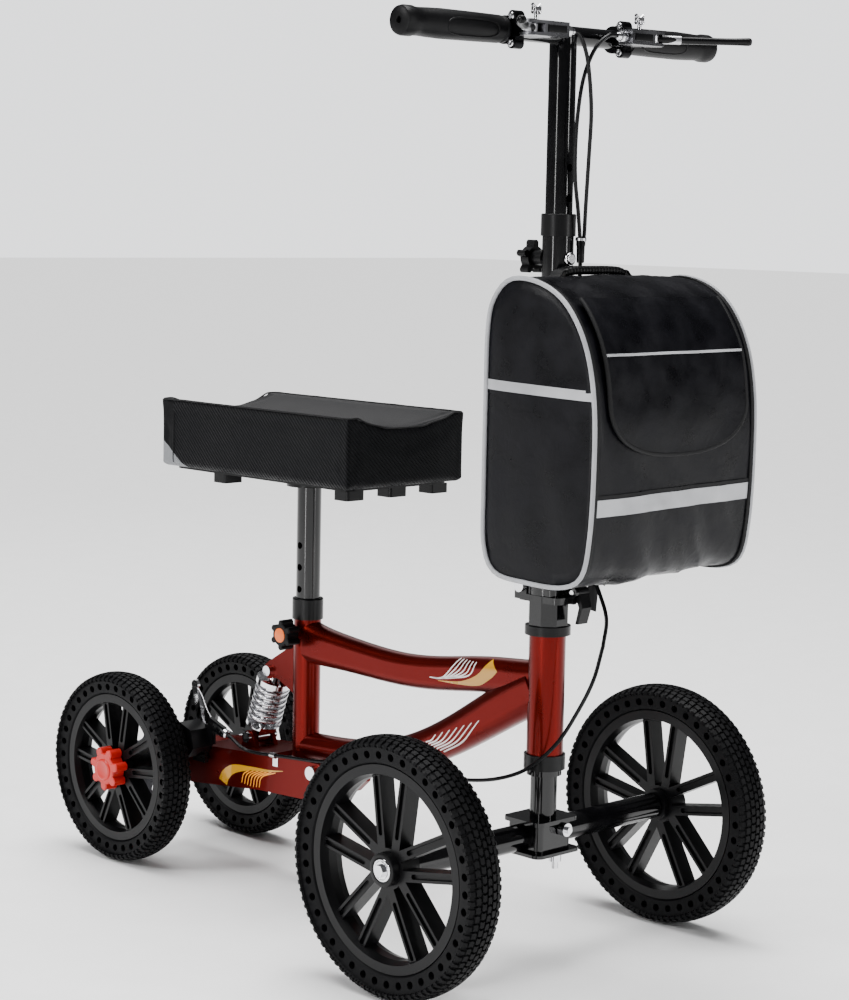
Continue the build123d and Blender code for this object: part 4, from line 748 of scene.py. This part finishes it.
finer.levels = finer.render_levels = 1
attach(saddle, "saddle")
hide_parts("saddle_cushion")

# seams: a dark welt along the two top edges and round the front and rear tops
skin_tree = surface_of(saddle)
centre = (saddle_low + saddle_high) / 2


def saddle_edge(x, y):
    """The point on the cover's rounded top edge that lies nearest to the rim at (x, y)."""
    outwards = Vector((x / half_width, (y - centre.y) / (saddle_high.y - centre.y), 0)).normalized()
    across = min(abs(x) / half_width, 1.0)
    top = Vector((x, y, start_high.z - CUSHION_DIP * (1 - across ** 2)))
    hit, facing, _, _ = skin_tree.find_nearest(top + (outwards + UP) * 0.006)
    return hit + facing * 0.0003


WELT_IN = 0.004
rim_x = saddle_high.x - WELT_IN
rim_front, rim_rear = saddle_low.y + WELT_IN, saddle_high.y - WELT_IN
welt = []
for count, start, end in ((28, (-rim_x, rim_rear), (-rim_x, rim_front)),
                          (16, (-rim_x, rim_front), (rim_x, rim_front)),
                          (28, (rim_x, rim_front), (rim_x, rim_rear)),
                          (16, (rim_x, rim_rear), (-rim_x, rim_rear))):
    for step in range(count):
        share = (step + 0.5) / count
        welt.append(saddle_edge(start[0] + (end[0] - start[0]) * share,
                                start[1] + (end[1] - start[1]) * share))
welt = smooth_line(welt, 3, closed=True)
saddle_welt = sweep("saddle_welt", welt, circle(0.0011, 8), dark_thread, closed=True)
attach(saddle_welt, "saddle")
for side in (RIGHT, LEFT):
    seam = [lay_on(skin_tree, (side * 0.2, rim_rear - 0.020, saddle_low.z + 0.006 + 0.0065 * k),
                   (-side, 0, 0), 0.0)
            for k in range(11)]
    seam = [point for point in seam if point is not None]
    piece = sweep(f"saddle_rear_seam_{'right' if side < 0 else 'left'}", smooth_line(seam, 3),
                  circle(0.0009, 8), dark_thread)
    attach(piece, "saddle")

# ================================================================ bag
bag_low, bag_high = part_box("bag")
BAG_BACK, BAG_FRONT = bag_high.y, bag_low.y
BAG_SIDES = 96                      # points round the bag's outline
outline_points = (
    (BAG_BACK - 0.010, 0.800), (BAG_BACK - 0.001, 0.765), (BAG_BACK, 0.690), (BAG_BACK, 0.580),
    (BAG_BACK - 0.002, 0.520), (BAG_BACK - 0.020, 0.490), (BAG_FRONT + 0.101, bag_low.z + 0.002),
    (BAG_FRONT + 0.046, bag_low.z + 0.003), (BAG_FRONT + 0.017, 0.500), (BAG_FRONT + 0.0065, 0.540),
    (BAG_FRONT + 0.0025, 0.610), (BAG_FRONT + 0.0045, 0.690), (BAG_FRONT + 0.019, 0.752),
    (BAG_FRONT + 0.049, 0.797), (BAG_FRONT + 0.089, bag_high.z - 0.004),
    (BAG_FRONT + 0.133, bag_high.z - 0.001))
outline = smooth_line([Vector((0, y, z)) for y, z in outline_points], 12, closed=True)


def even(line, count, closed=True):
    """The same line with evenly spaced points."""
    line = list(line) + ([line[0]] if closed else [])
    lengths = [0.0]
    for one, other in zip(line, line[1:]):
        lengths.append(lengths[-1] + (other - one).length)
    made = []
    index = 0
    total = count if closed else count - 1
    for k in range(count):
        target = lengths[-1] * k / total
        while index < len(line) - 2 and lengths[index + 1] < target:
            index += 1
        span = lengths[index + 1] - lengths[index]
        made.append(line[index].lerp(line[index + 1], min((target - lengths[index]) / span, 1.0)))
    return made


outline = even(outline, BAG_SIDES)
bag_middle = Vector((0, (BAG_BACK + BAG_FRONT) / 2, (bag_low.z + bag_high.z) / 2))


def bag_fold(point):
    """How far the cloth stands off its even shape: soft folds, deeper near the bottom."""
    low = max(0.0, 1 - (point.z - bag_low.z) / 0.20)
    slant = Vector((point.x * 16 + point.z * 10, point.y * 9, point.z * 6))
    fold = noise.noise(slant + Vector((3.1, 7.7, 1.3))) * (0.0028 + 0.0040 * low)
    crease = abs(noise.noise(Vector((point.x * 34 + point.z * 26, point.y * 20, point.z * 14)))) ** 0.7
    return fold - crease * (0.0020 + 0.0026 * low)


SEAM_X = bag_high.x - 0.006
rings = []
STATIONS = 44
for k in range(STATIONS + 1):
    share = -1 + 2 * k / STATIONS
    x = share * SEAM_X
    belly = (1 - share ** 4) * 0.0022
    pinch = 0.0022 * math.exp(-((1 - abs(share)) / 0.03) ** 2)
    ring = []
    for index, point in enumerate(outline):
        before, after = outline[index - 1], outline[(index + 1) % BAG_SIDES]
        along = (after - before).normalized()
        facing = Vector((0, along.z, -along.y))
        if facing.dot(point - bag_middle) < 0:
            facing = -facing
        place = Vector((x, point.y, point.z))
        fade = 1 - abs(share) ** 10
        ring.append(place + facing * (belly - pinch + bag_fold(place) * fade))
    rings.append(ring)


def side_panel(side):
    """Rings from the seam to the middle of one side panel, bulging a little."""
    made = []
    for step in range(1, 11):
        shrink = 1 - step / 10.3
        ring = []
        for point in outline:
            flat = bag_middle + (point - bag_middle) * shrink
            bulge = 0.0075 * (1 - shrink ** 2.2)
            fold = noise.noise(Vector((side * 5, flat.y * 22, flat.z * 9))) * 0.0018 * (1 - shrink ** 6)
            ring.append(Vector((side * (SEAM_X + bulge * 0.8 + fold), flat.y, flat.z)))
        made.append(ring)
    return made


shell = side_panel(RIGHT)[::-1] + rings + side_panel(LEFT)
bag = skin("bag_shell", shell, bag_nylon, sharp=70)
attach(bag, "stem")
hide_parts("bag")
bag_tree = surface_of(bag)

PIPING_R = 0.0027
for side_name, side in SIDES:
    path = [Vector((side * (SEAM_X + 0.0010), point.y, point.z)) for point in outline]
    piping = sweep(f"bag_piping_{side_name}", path, circle(PIPING_R, 10), piping_grey, closed=True)
    binding = sweep(f"bag_binding_{side_name}", [point - Vector((side * 0.0045, 0, 0)) for point in path],
                    pill(0.0060, 0.0028), dark_thread, closed=True,
                    up=lambda at: (Vector((0, at.y, at.z)) - bag_middle))
    for piece in (piping, binding):
        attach(piece, "stem")
    cast = (lambda s: lambda point: ((s * 0.3, point.x, point.y), (-s, 0, 0)))(side)
    band = decal(f"bag_side_band_{side_name}", bag_tree,
                 [(((BAG_BACK - 0.003, 0.703), (BAG_FRONT + 0.086, 0.701), (BAG_FRONT + 0.0085, 0.699)),
                   (0.0115, 0.0115))],
                 cast, reflective, "stem", lift=0.0007, across=3)

FRONT_BAND_Z = 0.578
FRONT_BAND_WIDTH = 0.019
front_cast = lambda point: ((point.x, BAG_FRONT - 0.1, point.y), (0, 1, 0))
front_band = decal("bag_front_band", bag_tree,
                   [([(x * SEAM_X * 0.985, FRONT_BAND_Z + 0.002 * x) for x in (-1, -0.5, 0, 0.5, 1)],
                     (FRONT_BAND_WIDTH, FRONT_BAND_WIDTH))],
                   front_cast, reflective, "stem", lift=0.0009, across=5)
pocket_lip = decal("bag_pocket_lip", bag_tree,
                   [([(x * SEAM_X * 0.985, FRONT_BAND_Z + 0.0125 + 0.002 * x)
                      for x in (-1, -0.5, 0, 0.5, 1)],
                     (0.0035, 0.0035))], front_cast, dark_thread, "stem", lift=0.0014, across=3)

# ---------------------------------------------------------------- flap
FLAP_HALF = 0.118
FLAP_TOP, FLAP_TURN, FLAP_BOTTOM = 0.799, 0.690, 0.630
front_line = [point for point in outline if point.y < BAG_FRONT + 0.061 and point.z > 0.60]
front_line.sort(key=lambda point: -point.z)


def front_y(z):
    """The bag's front at a height."""
    for one, other in zip(front_line, front_line[1:]):
        if other.z <= z <= one.z:
            return one.y + (other.y - one.y) * (one.z - z) / (one.z - other.z)
    return front_line[0].y if z > front_line[0].z else front_line[-1].y


def flap_point(share, z, off):
    """A point of the flap: share of its half width at a height, off the bag's face."""
    half = FLAP_HALF
    if z < FLAP_TURN:
        drop = (FLAP_TURN - z) / (FLAP_TURN - FLAP_BOTTOM)
        half *= (1 - drop ** 2.4) ** (1 / 2.4) if drop < 1 else 0.0
    x = share * half
    slope = (front_y(z - 0.004) - front_y(z + 0.004)) / 0.008
    facing = Vector((0, -1, -slope)).normalized()
    wave = noise.noise(Vector((x * 22, z * 26, 4.2))) * 0.0016
    return Vector((x, front_y(z), z)) + facing * (off + wave + 0.0035)


heights = [FLAP_TOP - (FLAP_TOP - FLAP_TURN) * k / 22 for k in range(22)]
heights += [FLAP_TURN - (FLAP_TURN - FLAP_BOTTOM) * math.sin(math.pi / 2 * k / 16) for k in range(17)]
FLAP_CELLS = 28
flap_rings = []
for z in heights:
    out = [flap_point(-1 + 2 * k / FLAP_CELLS, z, 0.0026) for k in range(FLAP_CELLS + 1)]
    back = [flap_point(-1 + 2 * k / FLAP_CELLS, z, 0.0) for k in range(FLAP_CELLS + 1)]
    flap_rings.append(out + back[::-1])
flap = skin("bag_flap_cover", flap_rings, bag_nylon, sharp=50)
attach(flap, "bag_flap")
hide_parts("bag_flap")
border = [flap_point(1, z, 0.0013) for z in heights] + [flap_point(-1, z, 0.0013) for z in heights[-2::-1]]
flap_edge = sweep("bag_flap_edge", border, pill(0.0052, 0.0042, 0.45), dark_thread,
                  up=lambda at: Vector((0, -1, 0.05)))
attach(flap_edge, "bag_flap")
LINE_Z = 0.741
line_path = [flap_point(-0.985 + 1.97 * k / 24, LINE_Z, 0.0030) for k in range(25)]
flap_line = sweep("bag_flap_line", line_path, pill(0.0030, 0.0016, 0.45), reflective, up=lambda at: AHEAD)
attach(flap_line, "bag_flap")

# ---------------------------------------------------------------- carrying handle
HANDLE_HALF, HANDLE_Y, HANDLE_Z = 0.052, -0.362, bag_high.z + 0.008
handle_path, handle_scales = [], []
for k in range(97):
    share = -1 + 2 * k / 96
    handle_path.append(Vector((share * HANDLE_HALF, HANDLE_Y, HANDLE_Z - 0.004 * abs(share) ** 6)))
    rib = 0.5 + 0.5 * math.cos(math.pi * 20 * share)
    handle_scales.append((1.0 + 0.07 * rib) * (1 - 0.25 * abs(share) ** 14))
handle = sweep("bag_handle", handle_path, pill(0.018, 0.0095, 0.42), black_plastic,
               up=UP, scales=handle_scales)
for side_name, side in SIDES:
    strap_path = smooth_line([(side * 0.044, HANDLE_Y, HANDLE_Z), (side * 0.056, HANDLE_Y, HANDLE_Z - 0.001),
                              (side * 0.064, HANDLE_Y - 0.001, HANDLE_Z - 0.0075),
                              (side * 0.078, HANDLE_Y - 0.002, bag_high.z - 0.0012)], 6)
    strap = sweep(f"bag_handle_strap_{side_name}", strap_path, pill(0.016, 0.0022, 0.45), dark_thread, up=UP)
    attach(strap, "stem")
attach(handle, "stem")

# ---------------------------------------------------------------- straps under the bag
for strap_name, x, drop in (("near", 0.026, 0.052), ("far", 0.042, 0.020)):
    tail = smooth_line([(x - 0.010, -0.352, bag_low.z + 0.010), (x, -0.350, bag_low.z - 0.006),
                        (x + 0.004, -0.352, bag_low.z - 0.6 * drop),
                        (x - 0.002, -0.356, bag_low.z - drop)], 6)
    strap = sweep(f"bag_strap_{strap_name}", tail, pill(0.016, 0.0016, 0.45), dark_thread,
                  up=lambda at: AHEAD)
    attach(strap, "stem")

# ================================================================ grips
bar_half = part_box("grips")[1].x
grip_in = min(abs(vertex.co.x) for vertex in NODES["grips"].data.vertices)
GRIP_R = (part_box("grips")[1].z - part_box("grips")[0].z) / 2
for side_name, side in SIDES:
    profile = ((grip_in, 0.0112), (grip_in, GRIP_R - 0.0030), (grip_in + 0.0012, GRIP_R - 0.0018),
               (grip_in + 0.0050, GRIP_R - 0.0016), (grip_in + 0.0062, GRIP_R - 0.0028),
               (grip_in + 0.0080, GRIP_R - 0.0028), (grip_in + 0.0096, GRIP_R - 0.0012),
               (grip_in + 0.050, GRIP_R - 0.0006), (bar_half - 0.062, GRIP_R - 0.0002),
               (bar_half - 0.040, GRIP_R - 0.0008), (bar_half - 0.028, GRIP_R - 0.0014),
               (bar_half - 0.020, GRIP_R - 0.0012), (bar_half - 0.016, GRIP_R - 0.0001),
               (bar_half - 0.005, GRIP_R - 0.0001), (bar_half - 0.0012, GRIP_R - 0.0012),
               (bar_half, GRIP_R - 0.0030), (bar_half, 0.0040), (bar_half - 0.0012, 0.0034),
               (bar_half - 0.0040, 0.0030), (bar_half - 0.0040, 0.0))
    grip = lathe(f"grip_{side_name}", profile, (0, STEER_Y, BAR_Z), (side, 0, 0), grip_rubber, steps=64)
    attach(grip, "handlebar")
    if side == RIGHT:
        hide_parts("grips")
    for turn in (5, 185):
        path = []
        for k in range(48):
            angle = 2 * math.pi * k / 48
            x = grip_in + 0.062 + 0.040 * math.copysign(abs(math.cos(angle)) ** 0.55, math.cos(angle))
            swing = math.copysign(abs(math.sin(angle)) ** 0.75, math.sin(angle))
            around = math.radians(turn) - 0.25 + 0.62 * swing
            r = GRIP_R - 0.0004
            path.append(Vector((side * x, STEER_Y - r * math.cos(around), BAR_Z + r * math.sin(around))))
        ring = sweep(f"grip_pad_{side_name}_{'front' if turn < 0 else 'rear'}", path, circle(0.0009, 8),
                     grip_rubber, closed=True)
        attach(ring, "handlebar")

# ================================================================ brake levers
LEVER_X, LEVER_Y = 0.104, STEER_Y - 0.046
LEVER_TURN = math.radians(33)
LEVER_T = 0.0094
BLADE = (   # along the blade, away from the bar, half width, share of the thickness
    (-0.004, 0.0, 0.0052, 0.80), (0.004, 0.0, 0.0066, 0.98), (0.018, 0.0003, 0.0058, 0.96),
    (0.037, -0.0006, 0.0044, 0.92), (0.062, 0.0012, 0.0040, 0.90), (0.085, 0.0036, 0.0037, 0.88),
    (0.099, 0.0064, 0.0038, 0.90), (0.108, 0.0094, 0.0046, 0.96), (0.1130, 0.0108, 0.0052, 1.0),
    (0.1165, 0.0116, 0.0040, 0.92), (0.1180, 0.0119, 0.0018, 0.6))
for side_name, side in SIDES:
    reach = Vector((side * math.cos(LEVER_TURN), -math.sin(LEVER_TURN), 0))
    away = Vector((-side * math.sin(LEVER_TURN), -math.cos(LEVER_TURN), 0))
    pivot = Vector((side * LEVER_X, LEVER_Y, BAR_Z))
    line = smooth_line([Vector((a, b, 0)) for a, b, _, _ in BLADE], 4)
    sizes = smooth_line([Vector((w, t, 0)) for _, _, w, t in BLADE], 4)
    rings = []
    for place, size in zip(line, sizes):
        at = pivot + reach * place.x + away * place.y
        rings.append([at + away * a + UP * b for a, b in pill(2 * size.x, LEVER_T * size.y, 0.42)])
    blade = skin(f"brake_blade_{side_name}", rings, satin_black)
    boss = lathe(f"brake_boss_{side_name}",
                 ((-LEVER_T / 2, 0.0032), (-LEVER_T / 2, 0.0072), (-LEVER_T / 2 + 0.0008, 0.0080),
                  (LEVER_T / 2 - 0.0008, 0.0080), (LEVER_T / 2, 0.0072), (LEVER_T / 2, 0.0032)),
                 pivot, UP, alloy)
    core_path = [pivot + reach * a + away * b for a, b in ((0.004, 0.0), (0.018, 0.0004), (0.034, 0.0))]
    core = sweep(f"brake_core_{side_name}", smooth_line(core_path, 5), pill(0.0090, LEVER_T * 1.04, 0.3),
                 alloy,
                 up=UP)
    for piece in (blade, boss, core):
        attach(piece, f"brake_lever_{side_name}")
    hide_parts(f"brake_lever_{side_name}")

# ---------------------------------------------------------------- lever clamps
PERCH_X, PERCH_W = 0.092, 0.014
for side_name, side in SIDES:
    details = []
    for height, label in ((0.015, "top"), (-0.015, "low")):
        for face, where in ((-1, "a"), (1, "b")):
            screw = lathe(f"clamp_screw_{label}_{where}_{side_name}",
                          ((-0.0004, 0.0), (-0.0004, 0.0044), (0.0016, 0.0043), (0.0024, 0.0034),
                           (0.0024, 0.0020),
                           (0.0010, 0.0018), (0.0010, 0.0)),
                          (side * PERCH_X + face * PERCH_W / 2, STEER_Y - 0.012, BAR_Z + height),
                          (face, 0, 0),
                          chrome, steps=20)
            details.append(screw)
    barrel = lathe(f"cable_adjuster_{side_name}",
                   ((-0.003, 0.0), (-0.003, 0.0050), (0.000, 0.0062), (0.006, 0.0062), (0.0068, 0.0050),
                    (0.0084, 0.0050), (0.0090, 0.0040), (0.0128, 0.0036), (0.0130, 0.0026), (0.0130, 0.0)),
                   (side * 0.050, STEER_Y - 0.049, BAR_Z), (-side, 0, 0), chrome, steps=24)
    details.append(barrel)
    pivot_cap = lathe(f"lever_pivot_{side_name}",
                      ((-0.0012, 0.0), (-0.0012, 0.0046), (0.0002, 0.0054), (0.0014, 0.0050),
                       (0.0018, 0.0030),
                       (0.0008, 0.0024), (0.0008, 0.0)),
                      (side * LEVER_X, LEVER_Y, BAR_Z + 0.0085), UP, chrome, steps=20)
    details.append(pivot_cap)
    for detail in details:
        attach(detail, "handlebar")
    for label, place, size, up in (("front", (0.074, -0.0592, 0), (0.030, 0.0085), AHEAD),
                                   ("top", (0.074, -0.0465, 0.0086), (0.030, 0.0120), UP)):
        x, y, z = place
        path = [Vector((side * (x + k * size[0] / 12), STEER_Y + y, BAR_Z + z)) for k in range(-6, 7)]
        insert = sweep(f"clamp_insert_{label}_{side_name}", path, pill(size[1], 0.0016, 0.45), satin_black,
                       up=lambda at, way=up: way)
        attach(insert, "handlebar")
    _, pin_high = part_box(f"lock_pin_{side_name}")
    pin = Vector((side * 0.088, STEER_Y - 0.039, pin_high.z - 0.0020))
    for label, lean in (("one", 1), ("two", -1)):
        wing = sweep(f"lock_wing_{label}_{side_name}",
                     [pin + Vector((k * 0.0016, 0, lean * k * 0.0011)) for k in (-4.2, -2, 0, 2, 4.2)],
                     circle(0.0017, 10), chrome, scales=[1.25, 0.95, 1.1, 0.95, 1.25])
        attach(wing, f"lock_pin_{side_name}")

# ================================================================ cables
CABLE_R = 0.0024
EXIT_X, EXIT_Y = 0.042, STEER_Y - 0.049
JOINER = (0.0148, STEER_Y - 0.0225)
CABLES = {
    "left_cable": ("stem", "handlebar", (0, 0, 0.88), (0, 0, 1.08), (
        (0.0138, JOINER[1] + 0.001, 0.862), (0.0117, -0.332, 0.869), (0.004, -0.335, 0.900),
        (-0.007, -0.3395, 0.934),
        (-0.012, -0.343, 0.972), (-0.0125, -0.346, 1.012), (-0.009, -0.350, 1.050),
        (0.003, EXIT_Y + 0.003, 1.082),
        (0.022, EXIT_Y - 0.001, BAR_Z - 0.001), (EXIT_X - 0.0009, EXIT_Y, BAR_Z),
        (EXIT_X + 0.006, EXIT_Y, BAR_Z))),
    "right_cable": ("stem", "handlebar", (0, 0, 0.88), (0, 0, 1.08), (
        (0.0168, JOINER[1] + 0.001, 0.862), (0.0178, -0.333, 0.869), (0.013, -0.3385, 0.898),
        (0.008, -0.3445, 0.930),
        (0.004, -0.350, 0.968), (-0.001, -0.356, 1.008), (-0.009, -0.360, 1.044),
        (-0.018, EXIT_Y - 0.004, 1.076),
        (-0.029, EXIT_Y - 0.002, BAR_Z - 0.003), (-EXIT_X + 0.0009, EXIT_Y, BAR_Z),
        (-EXIT_X - 0.006, EXIT_Y, BAR_Z))),
    "fold_cable": ("steering", "stem", (0, 0, 0.435), (0, 0, 0.478), (
        (0.012, -0.386, 0.392), (0.028, -0.376, 0.422), (0.033, -0.358, 0.453), (0.0315, -0.339, 0.488),
        (0.028, -0.327, 0.530), (0.025, -0.322, 0.580), (0.0245, -0.3205, 0.635), (0.0255, -0.321, 0.690),
        (0.024, -0.325, 0.745), (0.017, -0.3285, 0.795), (JOINER[0], JOINER[1], 0.840))),
    "steer_cable": ("frame", "steering", (-0.045, -0.06, 0.20), (0.0, -0.386, 0.37), (
        (-0.045, -0.008, 0.1915), (-0.045, -0.045, 0.1946), (-0.0455, -0.095, 0.199),
        (-0.0455, -0.155, 0.203),
        (-0.044, -0.214, 0.209), (-0.041, -0.269, 0.220), (-0.035, -0.314, 0.240), (-0.024, -0.349, 0.274),
        (-0.013, -0.372, 0.316), (-0.003, -0.386, 0.354), (0.012, -0.386, 0.392))),
    "rear_cable": ("frame", "swingarm", (-0.045, 0.0, 0.19), (-0.049, 0.09, 0.18), (
        (-0.045, -0.014, 0.192), (-0.0456, 0.016, 0.1894), (-0.048, 0.052, 0.185), (-0.0492, 0.100, 0.1812),
        (-0.0492, 0.165, 0.1758), (-0.052, 0.190, 0.178), (-0.053, 0.212, 0.1876), (-0.053, 0.230, 0.1936))),
}
CABLE_NODES = {"left_cable": "upper_cables", "fold_cable": "fold_cable", "steer_cable": "steer_cable",
               "rear_cable": "rear_cable"}
for name, (body_a, body_b, start, end, points) in CABLES.items():
    cable = sweep(f"brake_{name}", smooth_line(points, 9), circle(CABLE_R, 12), cable_jacket)
    if name in CABLE_NODES:
        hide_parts(CABLE_NODES[name])
    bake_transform(cable)

joiner_low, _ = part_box("cable_joiner")
joiner = lathe("cable_joiner_barrel",
               ((0.0, 0.0030), (0.0010, 0.0046), (0.0200, 0.0050), (0.0210, 0.0056), (0.0255, 0.0056),
                (0.0265, 0.0062), (0.0300, 0.0062), (0.0305, 0.0050), (0.0305, 0.0)),
               (JOINER[0], JOINER[1], joiner_low.z), UP, satin_black, steps=28)
ring = lathe("cable_joiner_ring", ((0.0262, 0.0060), (0.0262, 0.0066), (0.0292, 0.0066), (0.0292, 0.0060)),
             (JOINER[0], JOINER[1], joiner_low.z), UP, steel, steps=28)
for piece in (joiner, ring):
    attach(piece, "stem")
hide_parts("cable_joiner")

# ================================================================ shock spring
top_eye, low_eye = Vector((0, 0.183, 0.280)), Vector((0, 0.217, 0.184))
shock_along = (low_eye - top_eye).normalized()
COIL_TOP, COIL_LOW = 0.0215, 0.0798
COIL_R, WIRE_R, TURNS = 0.0205, 0.0030, 6.2
coil_path = []
across = Vector((1, 0, 0))
lift = shock_along.cross(across)
for k in range(int(TURNS * 28) + 1):
    share = k / (TURNS * 28)
    turn = 2 * math.pi * TURNS * share
    at = top_eye + shock_along * (COIL_TOP + WIRE_R + (COIL_LOW - COIL_TOP - 2 * WIRE_R) * share)
    coil_path.append(at + (across * math.cos(turn) + lift * math.sin(turn)) * COIL_R)
spring = sweep("shock_coil", coil_path, circle(WIRE_R, 12), steel)
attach(spring, "shock_upper")
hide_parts("shock_spring")
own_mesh(spring)

# ================================================================ caliper details
boot = lathe("cable_boot", ((0.0, 0.0028), (0.001, 0.0048), (0.008, 0.0052), (0.010, 0.0042),
                            (0.012, 0.0052),
                            (0.014, 0.0042), (0.016, 0.0050), (0.018, 0.0040), (0.026, 0.0032),
                            (0.027, 0.0026)),
             (-0.053, 0.232, 0.1945), (0, 0.94, 0.34), black_plastic, steps=24)
adjuster = lathe("caliper_adjuster",
                 ((0.0, 0.0), (0.0, 0.0042), (0.002, 0.0058), (0.007, 0.0058), (0.008, 0.0044),
                                      (0.013, 0.0044), (0.013, 0.0)),
                 (-0.053, 0.221, 0.1905), (0, 0.94, 0.34), chrome, steps=24)
for piece in (boot, adjuster):
    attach(piece, "swingarm")
wire = sweep("brake_inner_wire",
             smooth_line([(-0.053, 0.246, 0.200), (-0.050, 0.268, 0.216), (-0.046, 0.284, 0.232),
                                              (-0.0455, 0.298, 0.246)], 6), circle(0.0009, 8), steel)
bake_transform(wire)

# ================================================================ seat knob's cap
knob_low, knob_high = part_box("seat_knob")
seat_cap = lathe("seat_knob_cap", ((-0.0004, 0.0096), (0.0008, 0.0094), (0.0014, 0.0084), (0.0014, 0.0)),
                 (knob_low.x, SEAT_Y, (knob_low.z + knob_high.z) / 2), (-1, 0, 0), orange_plastic, steps=32)
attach(seat_cap, "seat_knob")

# ================================================================ painted lines
upper_tree = surface_of(NODES["upper_frame_tube"])
lower_tree = surface_of(NODES["lower_frame_tube"])
arm_tree = surface_of(NODES["swingarm"])
for side_name, side in SIDES:
    cast = from_side(side)
    fan = []
    for k in range(6):
        share = k / 5
        end_y = -0.173 - 0.031 * share
        fan.append((((-0.124 - 0.012 * share, 0.3185), (-0.146 - 0.020 * share, 0.3215 + 0.0005 * k),
                     (end_y + 0.010, 0.337 - 0.001 * k), (end_y, 0.3490)), (0.0012, 0.0018, 0.0014)))
    white_fan = decal(f"upper_tube_lines_{side_name}", upper_tree, fan, cast, decal_white, "frame", across=2)
    swoosh = [(((-0.139, 0.3165), (-0.178, 0.3195), (-0.2085, 0.3275), (-0.227, 0.341), (-0.237, 0.3515)),
               (0.0006, 0.004, 0.013, 0.018, 0.019))]
    yellow = decal(f"upper_tube_swoosh_{side_name}", upper_tree, swoosh, cast, decal_yellow, "frame",
                   across=8)
    lines = []
    for k in range(7):
        share = k / 6
        start = Vector((-0.1256 - 0.0289 * share, 0.2372 - 0.0078 * share))
        end = Vector((-0.1425 - 0.0745 * share, 0.2495 + 0.0302 * share))
        bow = (start + end) / 2 + Vector((-0.0012, -0.0022)) * (1 + 1.5 * share)
        lines.append(((tuple(start), tuple(bow), tuple(end)), (0.0016, 0.0019, 0.0012)))
    white = decal(f"lower_tube_lines_{side_name}", lower_tree, lines, cast, decal_white, "frame", across=2)
    swoosh = [(((0.2400, 0.1200), (0.2340, 0.1325), (0.2170, 0.1440), (0.1835, 0.1506), (0.1465, 0.1540),
                (0.1165, 0.1590)), (0.018, 0.016, 0.012, 0.0055, 0.003, 0.0008))]
    arm_yellow = decal(f"arm_swoosh_{side_name}", arm_tree, swoosh, cast, decal_yellow, "swingarm", across=8)
    lines = []
    for k in range(7):
        share = k / 6
        start = Vector((0.182 - 0.051 * share, 0.1492 + 0.0050 * share))
        end = Vector((0.200 - 0.036 * share, 0.1285 - 0.0015 * math.sin(math.pi * share)))
        bow = (start + end) / 2 + Vector((0.0050 + 0.006 * share, 0.0022))
        lines.append(((tuple(start), tuple(bow), tuple(end)), (0.0012, 0.0018, 0.0012)))
    orange = decal(f"arm_lines_{side_name}", arm_tree, lines, cast, decal_orange, "swingarm", across=2)

# ================================================================ floor, lights and camera
bpy.ops.mesh.primitive_plane_add(size=60, location=(0, 0, -0.0005))
floor = bpy.context.object
floor.name = "floor"
floor_finish = material("floor_finish", (0.94, 0.94, 0.94), 0.7, mottle=0.01, bump=0.01)
floor.data.materials.append(floor_finish)

AMBIENT, BACKDROP = 0.10, 2.0       # the studio's fill light, and how bright its white wall looks
world = bpy.data.worlds.new("studio")
bpy.context.scene.world = world
world.use_nodes = True
sky = world.node_tree
seen = add_node(sky, "ShaderNodeLightPath").outputs["Is Camera Ray"]
glow = add_node(sky, "ShaderNodeMapRange", {"Value": seen, "To Min": AMBIENT, "To Max": BACKDROP})
sky.nodes["Background"].inputs["Color"].default_value = (0.97, 0.98, 1.0, 1)
sky.links.new(glow.outputs["Result"], sky.nodes["Background"].inputs["Strength"])


def soft_light(name, place, target, size, power, height=None):
    """A large soft lamp aimed at a point."""
    lamp = bpy.data.lights.new(name, "AREA")
    lamp.shape = "RECTANGLE"
    lamp.size = size
    lamp.size_y = height or size
    lamp.energy = power
    made = bpy.data.objects.new(name, lamp)
    made.location = place
    made.rotation_euler = (Vector(target) - Vector(place)).to_track_quat("-Z", "Y").to_euler()
    bpy.context.scene.collection.objects.link(made)


AIM = (0.0, 0.0, 0.5)
soft_light("top", (0.3, 0.0, 3.3), AIM, 1.2, 50)
soft_light("key", (-3.0, 1.2, 2.6), AIM, 0.9, 70)
soft_light("strip_right", (-2.7, -0.6, 1.0), AIM, 0.18, 26, 2.2)
soft_light("strip_front", (1.0, -3.0, 1.3), AIM, 0.16, 30, 2.4)
soft_light("back", (1.8, 2.6, 2.2), AIM, 1.6, 10)

sun = bpy.data.lights.new("sun", "SUN")
sun.energy = 5.0
sun.angle = math.radians(60)
overhead = bpy.data.objects.new("sun", sun)
bpy.context.scene.collection.objects.link(overhead)

CAMERA_PLACE = Vector((-2.0855, -2.2309, 0.8972))
YAW, PITCH, ROLL = math.radians(-44.300), math.radians(6.883), math.radians(1.150)
looking = Vector((-math.sin(YAW) * math.cos(PITCH), math.cos(YAW) * math.cos(PITCH), -math.sin(PITCH)))
level = Vector((math.cos(YAW), math.sin(YAW), 0))
upright = level.cross(looking)
across = level * math.cos(ROLL) + upright * math.sin(ROLL)
raised = upright * math.cos(ROLL) - level * math.sin(ROLL)
lens = bpy.data.cameras.new("camera")
lens.lens = 86.75
camera = bpy.data.objects.new("camera", lens)
bpy.context.scene.collection.objects.link(camera)
aimed = Matrix((across, raised, -looking)).transposed().to_4x4()
camera.matrix_world = Matrix.Translation(CAMERA_PLACE) @ aimed
bpy.context.scene.camera = camera
